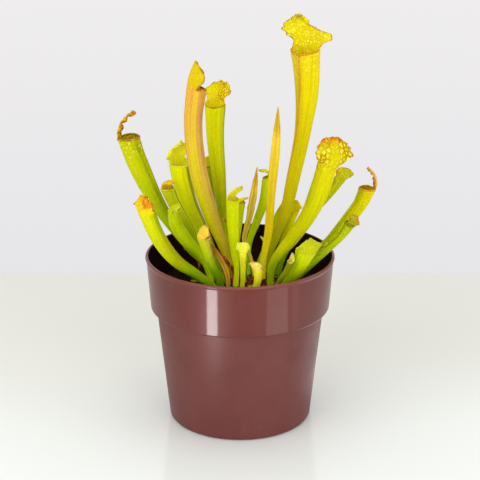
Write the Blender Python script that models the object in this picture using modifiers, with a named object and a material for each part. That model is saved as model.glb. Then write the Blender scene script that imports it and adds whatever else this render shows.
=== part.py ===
"""Potted pitcher plant: a clump of hooded trumpet leaves growing from a low crown in a peat-filled pot.

Lengths are written in millimetres and become Blender's metres when a mesh is made.
The origin is the middle of the pot's underside, +Z is up and the plant is looked at from -Y.
"""
import math

import bmesh
import bpy
import numpy as np

MM = 0.001
GAP = 0.3

# Pot
POT_HEIGHT = 119.0
RIM_RADIUS = 65.4
BAND_FOOT_RADIUS = 62.1
BAND_FOOT_Z = 81.6
BODY_TOP_RADIUS = 58.0
BODY_TOP_Z = 80.4
BASE_RADIUS = 49.7
BASE_ROUND = 3.0
STEP_ROUND = 1.2
STEP_DIP = 0.3
STEP_CREASE = 0.6
LEDGE_RISE = 1.8
LEDGE_SLOPE = 0.8
LIP_FLARE = 0.9
LIP_DEPTH = 6.0
POT_WALL = 2.6
POT_FLOOR = 3.0
FLOOR_CHAMFER = 2.0
POT_STEPS = 44

# Peat, filling the pot to 25 mm under its rim
SOIL_TOP = 93.5
SOIL_LUMP = 0.7
SOIL_STEPS = 36
SOIL_RINGS = (0.0, 33.0, 42.0, 51.0)

# Crown: the low woody rootstock that every leaf grows from
CROWN_CENTRE = (5.0, -3.0, 88.0)
CROWN_AXES = (36.0, 32.0, 9.5)
CROWN_STEPS = 26
CROWN_RINGS = 10
CROWN_STUBS = (
    (-19, 1), (-13, -6), (-15, -13), (-6, -21), (14, -13), (12, -7),
    (28, -15), (23, 7), (3, 3), (0, 15), (6, 21))

# Leaves
FOOT_BOTTOM = 86.0
FOOT_RISE = 1.2
LEAF_WALL = 0.85
HOLE_SIDES = 8
HOLE_REACH = 12.0
STUB_RADIUS = 1.7
STUB_HEIGHT = 2.2
STUB_SINK = 3.0

BROWN_PLASTIC = ((0.165, 0.052, 0.047, 1.0), 0.32)
PEAT = ((0.022, 0.012, 0.008, 1.0), 0.95)
ROOTSTOCK = ((0.11, 0.045, 0.018, 1.0), 0.85)
GREEN = ((0.30, 0.40, 0.012, 1.0), 0.45)
LIME = ((0.58, 0.62, 0.012, 1.0), 0.45)
YELLOW = ((0.72, 0.55, 0.030, 1.0), 0.45)
AMBER = ((0.62, 0.33, 0.060, 1.0), 0.50)
PALE = ((0.80, 0.70, 0.150, 1.0), 0.50)
BROWN = ((0.24, 0.065, 0.020, 1.0), 0.75)


def clear_scene():
    """Remove whatever objects the open file holds."""
    for thing in list(bpy.data.objects):
        bpy.data.objects.remove(thing, do_unlink=True)


def new_collection(name):
    """Make a collection under the scene's own."""
    group = bpy.data.collections.new(name)
    bpy.context.scene.collection.children.link(group)
    return group


def paint(thing, finish):
    """Give an object a material of its own from a (colour, roughness) pair."""
    colour, roughness = finish
    material = bpy.data.materials.new(thing.name + "_finish")
    material.use_nodes = True
    shader = material.node_tree.nodes["Principled BSDF"]
    shader.inputs["Base Color"].default_value = colour
    shader.inputs["Roughness"].default_value = roughness
    thing.data.materials.clear()
    thing.data.materials.append(material)


def new_mesh_object(name, points, faces, group):
    """Make a mesh object from points in millimetres."""
    mesh = bpy.data.meshes.new(name)
    mesh.from_pydata((np.asarray(points) * MM).tolist(), [], faces)
    mesh.update()
    thing = bpy.data.objects.new(name, mesh)
    group.objects.link(thing)
    return thing


def evaluated_copy(thing, group):
    """Replace an object by a mesh object with its modifiers or curve bevel applied and welded."""
    name = thing.name
    seen = thing.evaluated_get(bpy.context.evaluated_depsgraph_get())
    mesh = bpy.data.meshes.new_from_object(seen)
    matrix = thing.matrix_world.copy()
    bpy.data.objects.remove(thing, do_unlink=True)
    shape = bmesh.new()
    shape.from_mesh(mesh)
    bmesh.ops.remove_doubles(shape, verts=shape.verts, dist=0.00001)
    shape.to_mesh(mesh)
    shape.free()
    copy = bpy.data.objects.new(name, mesh)
    copy.matrix_world = matrix
    group.objects.link(copy)
    return copy


def turned(name, profile, steps, group):
    """Turn a profile of (radius, height) points about Z with a Screw modifier."""
    points = [(radius, 0.0, height) for radius, height in profile]
    edges = [(i, i + 1) for i in range(len(points) - 1)]
    mesh = bpy.data.meshes.new(name)
    mesh.from_pydata((np.array(points) * MM).tolist(), edges, [])
    thing = bpy.data.objects.new(name, mesh)
    group.objects.link(thing)
    screw = thing.modifiers.new("Turn", "SCREW")
    screw.axis = "Z"
    screw.steps = steps
    screw.render_steps = steps
    screw.use_merge_vertices = True
    screw.merge_threshold = 0.00001
    screw.use_smooth_shade = True
    return thing


def mesh_from_shape(name, shape, group):
    """Turn a bmesh into a mesh object and free it."""
    mesh = bpy.data.meshes.new(name)
    shape.to_mesh(mesh)
    shape.free()
    thing = bpy.data.objects.new(name, mesh)
    group.objects.link(thing)
    return thing


def combine(thing, other, operation):
    """Join or cut an object by another, which becomes a hidden wire shape."""
    boolean = thing.modifiers.new(operation.title() + " " + other.name, "BOOLEAN")
    boolean.operation = operation
    boolean.object = other
    other.hide_render = True
    other.display_type = "WIRE"


def arc(centre, radius, start, end, count):
    """Points (radius, height) on an arc of a profile, angles in degrees."""
    angles = np.radians(np.linspace(start, end, count))
    return [(centre[0] + radius * math.cos(a), centre[1] + radius * math.sin(a)) for a in angles]


def body_radius(z):
    """Outside radius of the pot's tapered lower body at a height."""
    share = (z - BASE_ROUND) / (BODY_TOP_Z - BASE_ROUND)
    return BASE_RADIUS + share * (BODY_TOP_RADIUS - BASE_RADIUS)


def pot_inside():
    """The pot's inner wall, bottom to top: floor corner, lower body, step and band."""
    lip = POT_WALL / 2
    return [
        (body_radius(POT_FLOOR) - POT_WALL - FLOOR_CHAMFER, POT_FLOOR),
        (body_radius(POT_FLOOR + FLOOR_CHAMFER) - POT_WALL, POT_FLOOR + FLOOR_CHAMFER),
        (BODY_TOP_RADIUS - POT_WALL, BAND_FOOT_Z + LEDGE_RISE),
        (BAND_FOOT_RADIUS - POT_WALL, BAND_FOOT_Z + POT_WALL + LEDGE_SLOPE),
        (RIM_RADIUS - POT_WALL, POT_HEIGHT - lip),
    ]


def make_pot(group):
    """Tapered pot: a deep band with a flared lip, an abrupt step in to the body, a flat underside."""
    lip = POT_WALL / 2
    profile = [(0.0, POT_FLOOR)]
    profile += pot_inside()[:-1]
    profile += arc((RIM_RADIUS - lip, POT_HEIGHT - lip), lip, 180, 0, 5)
    profile += [(RIM_RADIUS - LIP_FLARE, POT_HEIGHT - LIP_DEPTH)]
    profile += arc((BAND_FOOT_RADIUS - STEP_ROUND, BAND_FOOT_Z + STEP_ROUND), STEP_ROUND, 0, -80, 4)
    profile += [(BODY_TOP_RADIUS + STEP_CREASE, BAND_FOOT_Z - STEP_DIP), (BODY_TOP_RADIUS, BODY_TOP_Z)]
    profile += arc((BASE_RADIUS - BASE_ROUND, BASE_ROUND), BASE_ROUND, 0, -90, 4)
    profile += [(0.0, 0.0)]
    pot = turned("pot", profile, POT_STEPS, group)
    paint(pot, BROWN_PLASTIC)


def crown_top(x, y):
    """Height of the crown's upper surface above a point."""
    across = (x - CROWN_CENTRE[0]) / CROWN_AXES[0]
    ahead = (y - CROWN_CENTRE[1]) / CROWN_AXES[1]
    return CROWN_CENTRE[2] + CROWN_AXES[2] * math.sqrt(max(0.0, 1.0 - across ** 2 - ahead ** 2))


def crown_shape(name, grow, group):
    """The crown's flattened ball, larger all round by grow."""
    bpy.ops.mesh.primitive_uv_sphere_add(segments=CROWN_STEPS, ring_count=CROWN_RINGS, radius=1.0)
    ball = bpy.context.object
    ball.name = name
    axes = [(axis + grow) * MM for axis in CROWN_AXES]
    for vertex in ball.data.vertices:
        place = [vertex.co[i] * axes[i] + CROWN_CENTRE[i] * MM for i in range(3)]
        vertex.co = place
    for owner in list(ball.users_collection):
        owner.objects.unlink(ball)
    group.objects.link(ball)
    return ball


def add_prism(shape, x, y, bottom, top, low_radius, high_radius, sides):
    """Add a closed upright prism or frustum to a bmesh, sizes in millimetres."""
    made = bmesh.ops.create_cone(
        shape, cap_ends=True, segments=sides, radius1=low_radius * MM,
        radius2=high_radius * MM, depth=(top - bottom) * MM)
    middle = (x * MM, y * MM, (bottom + top) / 2 * MM)
    bmesh.ops.translate(shape, verts=made["verts"], vec=middle)


def make_foot_holes(feet, cutters):
    """Cutter for the plain holes that the leaves' feet stand in."""
    shape = bmesh.new()
    for x, y, width in feet:
        radius = (width / 2 + GAP) / math.cos(math.pi / HOLE_SIDES)
        add_prism(shape, x, y, FOOT_BOTTOM - GAP, SOIL_TOP + HOLE_REACH, radius, radius, HOLE_SIDES)
    return mesh_from_shape("foot_holes", shape, cutters)


def make_crown(holes, group, cutters):
    """Rootstock with short stubs of dead leaf bases and the holes for the leaves' feet."""
    crown = crown_shape("crown", 0.0, group)
    shape = bmesh.new()
    for x, y in CROWN_STUBS:
        top = crown_top(x, y)
        add_prism(shape, x, y, top - STUB_SINK, top + STUB_HEIGHT, STUB_RADIUS, STUB_RADIUS * 0.6, 6)
    stubs = mesh_from_shape("crown_stubs", shape, cutters)
    combine(crown, stubs, "UNION")
    combine(crown, holes, "DIFFERENCE")
    paint(crown, ROOTSTOCK)


def make_soil(holes, group, cutters):
    """Peat fitted to the pot's inside, uneven on top, with a seat for the crown."""
    inside = pot_inside()
    band_share = (SOIL_TOP - inside[3][1]) / (inside[4][1] - inside[3][1])
    top_radius = inside[3][0] + band_share * (inside[4][0] - inside[3][0]) - GAP
    profile = [(radius, SOIL_TOP) for radius in SOIL_RINGS]
    profile += [(top_radius, SOIL_TOP)]
    profile += [(radius - GAP, z) for radius, z in reversed(inside[1:4])]
    profile += [(inside[0][0] - GAP, POT_FLOOR + GAP), (0.0, POT_FLOOR + GAP)]
    soil = evaluated_copy(turned("soil", profile, SOIL_STEPS, group), group)
    for vertex in soil.data.vertices:
        x, y, z = (c / MM for c in vertex.co)
        if z > SOIL_TOP - GAP and math.hypot(x, y) < top_radius - GAP:
            lump = math.sin(0.21 * x + 1.0) * math.cos(0.17 * y) + 0.6 * math.sin(0.33 * y - 0.25 * x)
            vertex.co.z += SOIL_LUMP * lump * MM
    combine(soil, crown_shape("crown_seat", GAP, cutters), "DIFFERENCE")
    combine(soil, holes, "DIFFERENCE")
    paint(soil, PEAT)


def leaf_knots(path, foot_top):
    """A leaf's path with its foot put first: straight up from the hole's bottom to foot_top."""
    x, y, width = path[0]
    return np.array([(x, y, FOOT_BOTTOM, width), (x, y, foot_top, width)] + list(path[1:]), float)


def smooth_path(knots, rows):
    """Rows of (x, y, z, width) along a cubic Hermite curve that leaves the foot straight up."""
    step = np.linalg.norm(np.diff(knots[:, :3], axis=0), axis=1)
    along = np.concatenate(([0.0], np.cumsum(step)))
    slope = np.gradient(knots, along, axis=0)
    slope[:2] = (0.0, 0.0, 1.0, 0.0)
    at = np.concatenate(([0.0], np.linspace(along[1], along[-1], rows - 1)))
    piece = np.clip(np.searchsorted(along, at, side="right") - 1, 0, len(step) - 1)
    length = step[piece][:, None]
    t = ((at - along[piece]) / step[piece])[:, None]
    start = (1 + 2 * t) * (1 - t) ** 2 * knots[piece] + t * (1 - t) ** 2 * length * slope[piece]
    end = t * t * (3 - 2 * t) * knots[piece + 1] + t * t * (t - 1) * length * slope[piece + 1]
    return start + end


def unit(rows):
    """Rows of vectors made one long."""
    return rows / np.linalg.norm(rows, axis=1, keepdims=True)


def leaf_frames(centre, face, level):
    """Along, front and side directions of each row; face turns from foot to mouth, in degrees.

    A face of 0 looks to -Y and 90 looks to +X. Near the mouth the rings tip towards level.
    """
    share = np.linspace(0.0, 1.0, len(centre))[:, None]
    along = unit(np.gradient(centre, axis=0))
    along[:2] = (0.0, 0.0, 1.0)
    near_mouth = level * np.clip((share - 0.72) / 0.28, 0.0, 1.0) ** 2
    along = unit(along * (1 - near_mouth) + np.array([0.0, 0.0, 1.0]) * near_mouth)
    turn = np.radians(face[0] + (face[1] - face[0]) * share)
    front = np.concatenate((np.sin(turn), -np.cos(turn), np.zeros_like(turn)), axis=1)
    front = unit(front - along * np.sum(front * along, axis=1, keepdims=True))
    return along, front, np.cross(along, front)


def tube_points(centre, width, frames, sides, keel, flare):
    """Rings round the path: circles with a low keel on the front, and the lip flared at the front."""
    along, front, side = frames
    angle = np.arange(sides) * 2 * math.pi / sides
    ridge = 1 + keel * np.maximum(0.0, np.cos(angle)) ** 24
    radius = width[:, None] / 2 * ridge[None, :]
    radius[-1] *= 1 + flare * (1 + np.cos(angle)) / 2
    ring = front[:, None, :] * np.cos(angle)[None, :, None] + side[:, None, :] * np.sin(angle)[None, :, None]
    return centre[:, None, :] + ring * radius[:, :, None]


def hood_points(rim_centre, rim_radius, frame, hood, columns, root_angle, rows):
    """The hood: a blade that rises from the back of the mouth and bends over it.

    Each row is an arc. Its half angle goes from root_angle to the hood's wrap, its two ends go
    through the left and right lists, and its middle follows a line that leans to the front.
    """
    along, front, side = frame
    v = np.arange(1, rows + 1) / rows
    lean = np.radians(hood["lean"][0] + (hood["lean"][1] - hood["lean"][0]) * v)
    step = hood["length"] / rows
    forward = np.cumsum(np.sin(lean)) * step
    upward = np.cumsum(np.cos(lean)) * step
    root = rim_radius * root_angle
    marks = np.linspace(0.0, 1.0, len(hood["right"]) + 1)
    left = np.interp(v, marks, [-root] + [-w for w in hood["left"]])
    right = np.interp(v, marks, [root] + list(hood["right"]))
    half_angle = root_angle + (math.radians(hood["wrap"]) - root_angle) * np.minimum(1.0, hood["spread"] * v)
    middle = (left + right) / 2
    half = (right - left) / 2
    u = np.linspace(-1.0, 1.0, columns)
    bend = half[:, None] / half_angle[:, None]
    lateral = middle[:, None] + bend * np.sin(u[None, :] * half_angle[:, None])
    inward = bend * (1 - np.cos(u[None, :] * half_angle[:, None]))
    edge = np.maximum(u[None, :] ** 2, v[:, None] ** 3)
    wave = hood["ruffle"] * edge * np.sin(hood["waves"] * (v[:, None] * math.pi + 1.7 * u[None, :]))
    inner = np.cos(lean)[:, None] * front - np.sin(lean)[:, None] * along
    back = rim_centre - front * rim_radius
    spine = back + forward[:, None] * front + upward[:, None] * along
    return spine[:, None, :] + side * lateral[:, :, None] + inner[:, None, :] * (inward + wave)[:, :, None]


def grid_faces(rows, columns, index, closed):
    """Faces of a grid whose point numbers are index(row, column)."""
    last = columns if closed else columns - 1
    return [
        (index(i, j), index(i, (j + 1) % columns), index(i + 1, (j + 1) % columns), index(i + 1, j))
        for i in range(rows - 1) for j in range(last)]


def hood(length, lean, right, left=None, wrap=45, ruffle=0.0, waves=3.0, spread=1.6):
    """A hood's sizes; with no left list it is the same on both sides.

    length is along its middle, lean the tilt to the front at its root and tip in degrees, and
    right and left the distances of its edges from the middle, row by row. wrap is the half angle
    of its arc at the tip, reached sooner with a larger spread.
    """
    return {
        "length": length, "lean": lean, "right": right, "left": left or right,
        "wrap": wrap, "ruffle": ruffle, "waves": waves, "spread": spread}


def make_pitcher(name, finish, path, face, lid, group, sides=12, rows=10, root=3, lid_rows=5,
                 level=0.6, keel=0.1, flare=0.1):
    """A hollow trumpet leaf with its hood, one open sheet given a wall by Solidify."""
    knots = leaf_knots(path, crown_top(path[0][0], path[0][1]) + FOOT_RISE)
    line = smooth_path(knots, rows)
    frames = leaf_frames(line[:, :3], face, level)
    tube = tube_points(line[:, :3], line[:, 3], frames, sides, keel, flare)
    mouth = tuple(part[-1] for part in frames)
    columns = 2 * root + 1
    blade = hood_points(
        line[-1, :3], line[-1, 3] / 2, mouth, lid, columns, root * 2 * math.pi / sides, lid_rows)
    points = np.concatenate((tube.reshape(-1, 3), blade.reshape(-1, 3), line[:1, :3]))
    faces = grid_faces(rows, sides, lambda i, j: i * sides + j, True)
    first_back = sides // 2 - root
    rim = (rows - 1) * sides
    blade_start = rows * sides

    def blade_index(i, j):
        # The side direction runs against the ring's order at the back, so the rim is read backwards.
        if i == 0:
            return rim + first_back + columns - 1 - j
        return blade_start + (i - 1) * columns + j

    faces += [tuple(reversed(face_)) for face_ in grid_faces(lid_rows + 1, columns, blade_index, False)]
    foot = len(points) - 1
    faces += [(foot, (j + 1) % sides, j) for j in range(sides)]
    leaf = new_mesh_object(name, points, faces, group)
    shape = bmesh.new()
    shape.from_mesh(leaf.data)
    bmesh.ops.triangulate(shape, faces=shape.faces, quad_method="FIXED")
    shape.to_mesh(leaf.data)
    shape.free()
    leaf.data.shade_smooth()
    wall = leaf.modifiers.new("Leaf wall", "SOLIDIFY")
    wall.thickness = LEAF_WALL * MM
    wall.offset = -1.0
    wall.use_even_offset = False
    paint(leaf, finish)
    return path[0]


def make_blade(name, finish, path, group, rows=9, foot_top=None):
    """A slender solid leaf: a curve with round section, its radius following the path's widths."""
    top = foot_top or crown_top(path[0][0], path[0][1]) + FOOT_RISE
    line = smooth_path(leaf_knots(path, top), rows)
    curve = bpy.data.curves.new(name, "CURVE")
    curve.dimensions = "3D"
    curve.bevel_depth = MM
    curve.bevel_resolution = 1
    curve.use_fill_caps = True
    curve.twist_mode = "Z_UP"
    spline = curve.splines.new("POLY")
    spline.points.add(rows - 1)
    for point, (x, y, z, width) in zip(spline.points, line):
        point.co = (x * MM, y * MM, z * MM, 1.0)
        point.radius = max(width / 2, 0.3)
    leaf = bpy.data.objects.new(name, curve)
    group.objects.link(leaf)
    leaf = evaluated_copy(leaf, group)
    leaf.data.shade_smooth()
    paint(leaf, finish)
    return path[0]


def large_pitchers(group):
    """The ten long leaves, from the far left round to the front right."""
    feet = [
        make_pitcher(
            "pitcher_far_left", GREEN,
            [(-17, 9, 4.2), (-35, 10, 119, 5.6), (-58, 13, 153, 10.6), (-70, 14, 179, 13.6),
             (-77, 14, 198, 13.6)],
            (60, 75), hood(25, (-8, 68), (3.6, 3, 2.6, 2.4), wrap=100), group, root=1, flare=0.2),
        make_pitcher(
            "pitcher_low_left", GREEN,
            [(-15, -21, 4.5), (-27, -28, 112, 5.6), (-41.2, -35, 125, 7.8),
             (-53.4, -44, 145, 10), (-60.7, -50, 164.8, 11)],
            (110, 150), hood(15, (-14, 40), (9, 8.4, 6, 3.6), (6, 5, 4, 2.5), wrap=45, ruffle=0.8), group),
        make_pitcher(
            "pitcher_left_hooded", LIME,
            [(-14, 15, 4), (-22.4, 17, 120, 8.2), (-36.2, 22, 150, 12), (-40.8, 25, 166, 13.4),
             (-42.5, 25, 176, 13.5)],
            (40, 40), hood(18, (-5, 50), (9, 11, 12, 8.5), (9.5, 12.5, 9, 0), wrap=50, ruffle=0.6), group),
        make_pitcher(
            "pitcher_amber", AMBER,
            [(-4, 6, 4.2), (-12.3, 7, 123, 7.4), (-20.2, 9, 144, 10.6), (-29.9, 11, 180, 11.6),
             (-32.2, 12, 213, 11.8), (-30, 12, 233, 12.5)],
            (80, 92), hood(20, (1, 24), (13, 15, 12.5, 5), wrap=118), group, flare=0.06),
        make_pitcher(
            "pitcher_green_frilled", GREEN,
            [(-2, 22, 4.2), (-10, 28, 125, 5), (-15.3, 36, 168, 10.6), (-17.4, 42, 191, 12.2),
             (-17.4, 45, 213, 13.8)],
            (10, -5),
            hood(17, (0, 22), (7.2, 11, 10.8, 8.5), (6.5, 8, 7, 1), wrap=26, ruffle=1.1, waves=3.5,
                 spread=2.5),
            group),
        make_pitcher(
            "pitcher_tall", YELLOW,
            [(17, 12, 4.6), (24.6, 17, 124, 6), (30, 21, 136, 7.4), (37.1, 28, 165, 9.5),
             (44.3, 35, 202, 12.1), (46.3, 39, 224, 15.9), (45.3, 42, 252, 19.4)],
            (-80, -25),
            hood(23.4, (-8, 10), (13.4, 17, 13, 4, -0.8, -5.8), (12.1, 16.6, 20.6, 20.4, 17.4, 11.2),
                 wrap=16, ruffle=1.3, waves=3.5, spread=3.5),
            group, rows=11, lid_rows=6),
        make_pitcher(
            "pitcher_netted", LIME,
            [(21, -8, 4.6), (21.6, -11, 113, 5.5), (36, -17, 137, 9.2), (46.6, -22, 156, 11),
             (53.1, -26, 174, 13), (57.4, -29, 190, 13)],
            (-130, -160),
            hood(23.5, (-6, 10), (7.2, 9.8, 10.8, 6.4), (14.6, 15, 12, 4.8), wrap=22, ruffle=1.2, waves=4.5,
                 spread=2.5),
            group),
        make_pitcher(
            "pitcher_far_right", LIME,
            [(30, 4, 4), (63.2, 3, 128, 7.6), (76.3, 3, 145, 9), (82.7, 3, 154.5, 9.4),
             (87.5, 3, 165, 10.4)],
            (-80, -80), hood(18.5, (-25, 62), (4, 3, 2.6, 2.2), wrap=100), group, root=1, flare=0.14),
        make_pitcher(
            "pitcher_low_right", GREEN,
            [(29, -8, 4), (39.6, -13, 107, 4.5), (55.4, -17, 125, 5.5), (69.6, -20, 140.3, 5.5),
             (74, -21, 147.6, 7)],
            (-60, -50), hood(8, (-15, 35), (6, 6.5, 4), (4, 4, 3), wrap=50, ruffle=0.5), group, sides=10,
            root=2, lid_rows=4, level=0.2),
        make_pitcher(
            "pitcher_front_right", LIME,
            [(22, -20, 4.6), (33.4, -26, 110, 8), (37, -30, 117, 10), (40.8, -36, 127, 11.5),
             (43.7, -40, 134, 12.5)],
            (-150, -150), hood(13.5, (-5, 25), (9, 9, 5.5, 1), (10.5, 12.5, 8, 2), wrap=40, ruffle=0.6),
            group, rows=9, lid_rows=4),
    ]
    return feet


def middle_pitchers(group):
    """The leaves of middle size, most of them half hidden in the clump."""
    size = {"sides": 10, "rows": 9, "root": 2, "lid_rows": 4}
    feet = [
        make_pitcher(
            "pitcher_left_rear", GREEN,
            [(-12, 1, 3.8), (-26, 1, 118, 5), (-38, 1, 142, 7.4), (-46, 1, 157, 8.6),
             (-49.7, 1, 165.8, 9)],
            (60, 50), hood(15, (-6, 112), (4.2, 4.2, 3.2), wrap=50), group, **size),
        make_pitcher(
            "pitcher_left_mid", GREEN,
            [(-20, -8, 4), (-25, -12, 119, 5), (-38, -16, 136, 8), (-44, -17, 147, 8), (-45, -17, 156, 7.5)],
            (90, 100), hood(10, (15, 95), (5.5, 5.5, 4), wrap=60, ruffle=0.3), group, **size),
        make_pitcher(
            "pitcher_centre", LIME,
            [(-3, -14, 4), (-2.5, -17, 115, 3.6), (-3.6, -18, 126, 5.6), (-4.7, -18, 143, 7.5),
             (-5, -18, 164, 8.7)],
            (60, 50), hood(13.8, (4, 64), (5.4, 7.8, 8.6, 6.5), (5.5, 5, 3, 0), wrap=35), group, **size),
        make_pitcher(
            "pitcher_slim_rear", GREEN,
            [(6, 14, 3.4), (7, 19, 122, 4), (12, 22, 135, 5), (16, 24, 146, 5.6),
             (19.3, 27, 165.5, 5.8)],
            (-80, -80), hood(13, (-14, 105), (3.2, 3.2, 2.4), wrap=50), group, **size),
        make_pitcher(
            "pitcher_small_left", YELLOW,
            [(-11, -28, 4), (-14.2, -32, 111, 4.4), (-16.7, -34, 119, 5.2),
             (-20.2, -36, 128, 6.2), (-24.4, -38, 143, 8)],
            (120, 120), hood(12.5, (-8, 70), (7, 7, 4.4), wrap=50, ruffle=0.5), group, **size),
    ]
    return feet


def small_pitchers(group):
    """Short young leaves and the tips that show between the large ones."""
    size = {"sides": 8, "rows": 7, "root": 2, "lid_rows": 3, "keel": 0.0}
    feet = [
        make_pitcher(
            "pitcher_small_rear", GREEN,
            [(-9, 21, 3.4), (-16, 32, 130, 4), (-20, 39, 145, 5), (-23, 45, 169, 6.5)],
            (0, 0), hood(9, (10, 55), (4.8, 4.6, 3), ruffle=0.3), group, **size),
        make_pitcher(
            "pitcher_centre_rear", GREEN,
            [(3, -5, 3.2), (-2, -2, 129, 4), (-1, 0, 142, 5.4), (0, 0, 156.3, 6.2)],
            (80, 80), hood(9.5, (25, 84), (3.6, 3.4, 2)), group, **size),
        make_pitcher(
            "pitcher_netted_rear", GREEN,
            [(27, 14, 3.4), (51.3, 17, 143, 4.2), (62.9, 19, 157.5, 5.8), (69, 19, 166.6, 7.6)],
            (-150, -170), hood(9.8, (-8, 12), (4.5, 5, 3.5), (7, 8.6, 5.4), wrap=30, ruffle=0.4),
            group, **size),
        make_pitcher(
            "pitcher_tiny_rim", BROWN,
            [(33, -2, 3), (50, -4, 115, 3.5), (55.5, -6, 121.5, 4.4), (58, -7, 125.5, 5)],
            (-120, -120), hood(5.5, (0, 45), (3.4, 3.4, 2.2)), group, **size),
        make_pitcher(
            "pitcher_beaked", LIME,
            [(20, -26, 3.2), (27, -33, 112, 3.5), (31, -39, 121, 3.8), (34, -43, 129, 4.5)],
            (-60, -60), hood(7, (-5, 30), (3, 2.2, 0.8)), group, **size),
        make_pitcher(
            "pitcher_yellow_rear", YELLOW,
            [(24, 19, 3.2), (29, 26, 116, 4), (33.6, 28, 128, 5.4), (38, 29, 139.8, 7)],
            (-45, -45), hood(10, (-5, 40), (5.6, 7.5, 5.5), (4.8, 5, 3), ruffle=0.3), group, **size),
        make_pitcher(
            "pitcher_pale_front", PALE,
            [(1, -22, 3.2), (2, -26, 111, 3.5), (2, -28, 121, 4), (2, -30, 128, 5)],
            (180, 180), hood(10.5, (5, 15), (3.2, 4.8, 4), wrap=35, ruffle=0.3), group, **size),
        make_pitcher(
            "pitcher_stub_front", PALE,
            [(8, -29, 4.2), (11, -33, 107.5, 4.5), (12, -36, 114, 5.5), (12, -37, 120.5, 6.5)],
            (150, 150), hood(7, (-15, 10), (5.6, 6.4, 4.4), (4, 4.4, 3.6), wrap=45, ruffle=0.6),
            group, **size),
        make_pitcher(
            "pitcher_pale_tip", PALE,
            [(11, 11, 2.8), (14, 12, 110, 3), (17, 13, 117.5, 3.2), (18, 13, 122, 3.8)],
            (-90, -90), hood(5, (0, 50), (2.6, 2, 0.8)), group, **size),
        make_pitcher(
            "pitcher_tiny_rear", LIME,
            [(-6, 13, 2.8), (-7, 17, 116, 3), (-10, 19, 125, 3.2), (-11, 19, 136, 3.8)],
            (80, 80), hood(5, (0, 60), (2.6, 2, 1)), group, **size),
    ]
    return feet


def slender_leaves(group):
    """Unopened and flat leaves, narrow strips and dead stubs, all solid."""
    feet = [
        make_blade("leaf_spear", YELLOW, [
            (16, 1, 3.6), (16.5, 1, 117, 4.6), (18.7, 2, 128, 6), (21.4, 5, 162, 6.8),
            (24, 6, 190, 7.2), (24.9, 6, 203, 6.4), (25.7, 6, 222, 0.7)], group, rows=13),
        make_blade("leaf_slender_brown", BROWN, [
            (10, 5, 3.2), (8, 8, 111, 2.6), (3, 12, 125, 3.6), (6, 15, 138, 4.6),
            (9.8, 18, 159, 4.9), (11.9, 19, 176, 0.6)], group, rows=11),
        make_blade("leaf_slender_green", GREEN, [
            (13, 22, 3), (18, 25, 113, 3), (22, 27, 125, 3.5), (26, 30, 137, 3.4),
            (31, 31, 148, 0.6)], group),
        make_blade("leaf_strip_green", LIME, [
            (-8, -13, 2.8), (-9, -14, 110, 3.6), (-12.2, -14, 118, 3.6), (-16, -14, 125, 2.8),
            (-19.2, -14, 131.5, 0.6)], group),
        make_blade("leaf_strip_brown", BROWN, [
            (-4.5, -9.5, 2.4), (-5, -10, 111, 2.4), (-10.5, -10, 118.5, 2.4),
            (-16, -9, 124.5, 2.2), (-21.3, -8, 130.5, 0.6)], group),
        make_blade("dead_leaf_left", BROWN, [
            (-22, -14, 2.4), (-24, -15, 101, 2.6), (-27, -16, 106, 2), (-31, -16, 108, 0.8)], group, rows=7),
        make_blade("dead_leaf_centre", BROWN, [
            (6, -12, 2.6), (7, -12, 102, 2.8), (9, -12, 106, 2.2), (12, -12, 108, 0.8)], group, rows=7),
        make_blade("cut_stub_green", LIME, [
            (16, -29, 3), (19, -31, 100, 3.2), (23, -33, 103, 3.2)], group, rows=6),
    ]
    return feet


def build():
    """Make every piece in its collection."""
    clear_scene()
    group = new_collection("Potted pitcher plant")
    cutters = new_collection("Cutters")
    make_pot(group)
    feet = large_pitchers(group)
    feet += middle_pitchers(group)
    feet += small_pitchers(group)
    feet += slender_leaves(group)
    feet.append(make_blade("dry_stalk", BROWN, [
        (-29, 38, 2.2), (-30, 39, 99, 2), (-33, 40, 104, 1.8), (-40, 41, 108, 1.2)], group, rows=7,
        foot_top=SOIL_TOP + 2.0))
    holes = make_foot_holes(feet, cutters)
    make_crown(holes, group, cutters)
    make_soil(holes, group, cutters)


build()
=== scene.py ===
"""Looks of the potted pitcher plant: fine leaves, crown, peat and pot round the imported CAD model.

Lengths are written in millimetres and become metres when a mesh is made.
The origin is the middle of the pot's underside, +Z is up and the plant is looked at from -Y.
"""
import math

import bpy
import numpy as np
from mathutils import Matrix, Vector


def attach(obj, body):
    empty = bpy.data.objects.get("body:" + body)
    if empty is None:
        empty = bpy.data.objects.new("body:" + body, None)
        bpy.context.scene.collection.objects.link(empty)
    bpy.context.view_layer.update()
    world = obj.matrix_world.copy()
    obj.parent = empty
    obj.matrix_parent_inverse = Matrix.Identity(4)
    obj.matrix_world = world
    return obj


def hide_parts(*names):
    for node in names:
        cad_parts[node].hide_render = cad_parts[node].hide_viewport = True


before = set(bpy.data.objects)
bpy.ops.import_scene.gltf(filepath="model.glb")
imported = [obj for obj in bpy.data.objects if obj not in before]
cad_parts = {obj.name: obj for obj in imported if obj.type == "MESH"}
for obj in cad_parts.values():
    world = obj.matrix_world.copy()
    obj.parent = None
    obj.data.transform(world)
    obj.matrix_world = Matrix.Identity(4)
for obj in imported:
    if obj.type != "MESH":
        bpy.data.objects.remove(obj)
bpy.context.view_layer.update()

MM = 0.001

# Pot, as in the CAD
POT_HEIGHT = 119.0
RIM_RADIUS = 65.4
BAND_FOOT_RADIUS = 62.1
BAND_FOOT_Z = 81.6
BODY_TOP_RADIUS = 58.0
BODY_TOP_Z = 80.4
BASE_RADIUS = 49.7
BASE_ROUND = 3.0
STEP_ROUND = 1.2
LEDGE_RISE = 1.8
LIP_FLARE = 0.9
LIP_DEPTH = 6.0
POT_WALL = 2.6
POT_FLOOR = 3.0
GAP = 0.3

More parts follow.
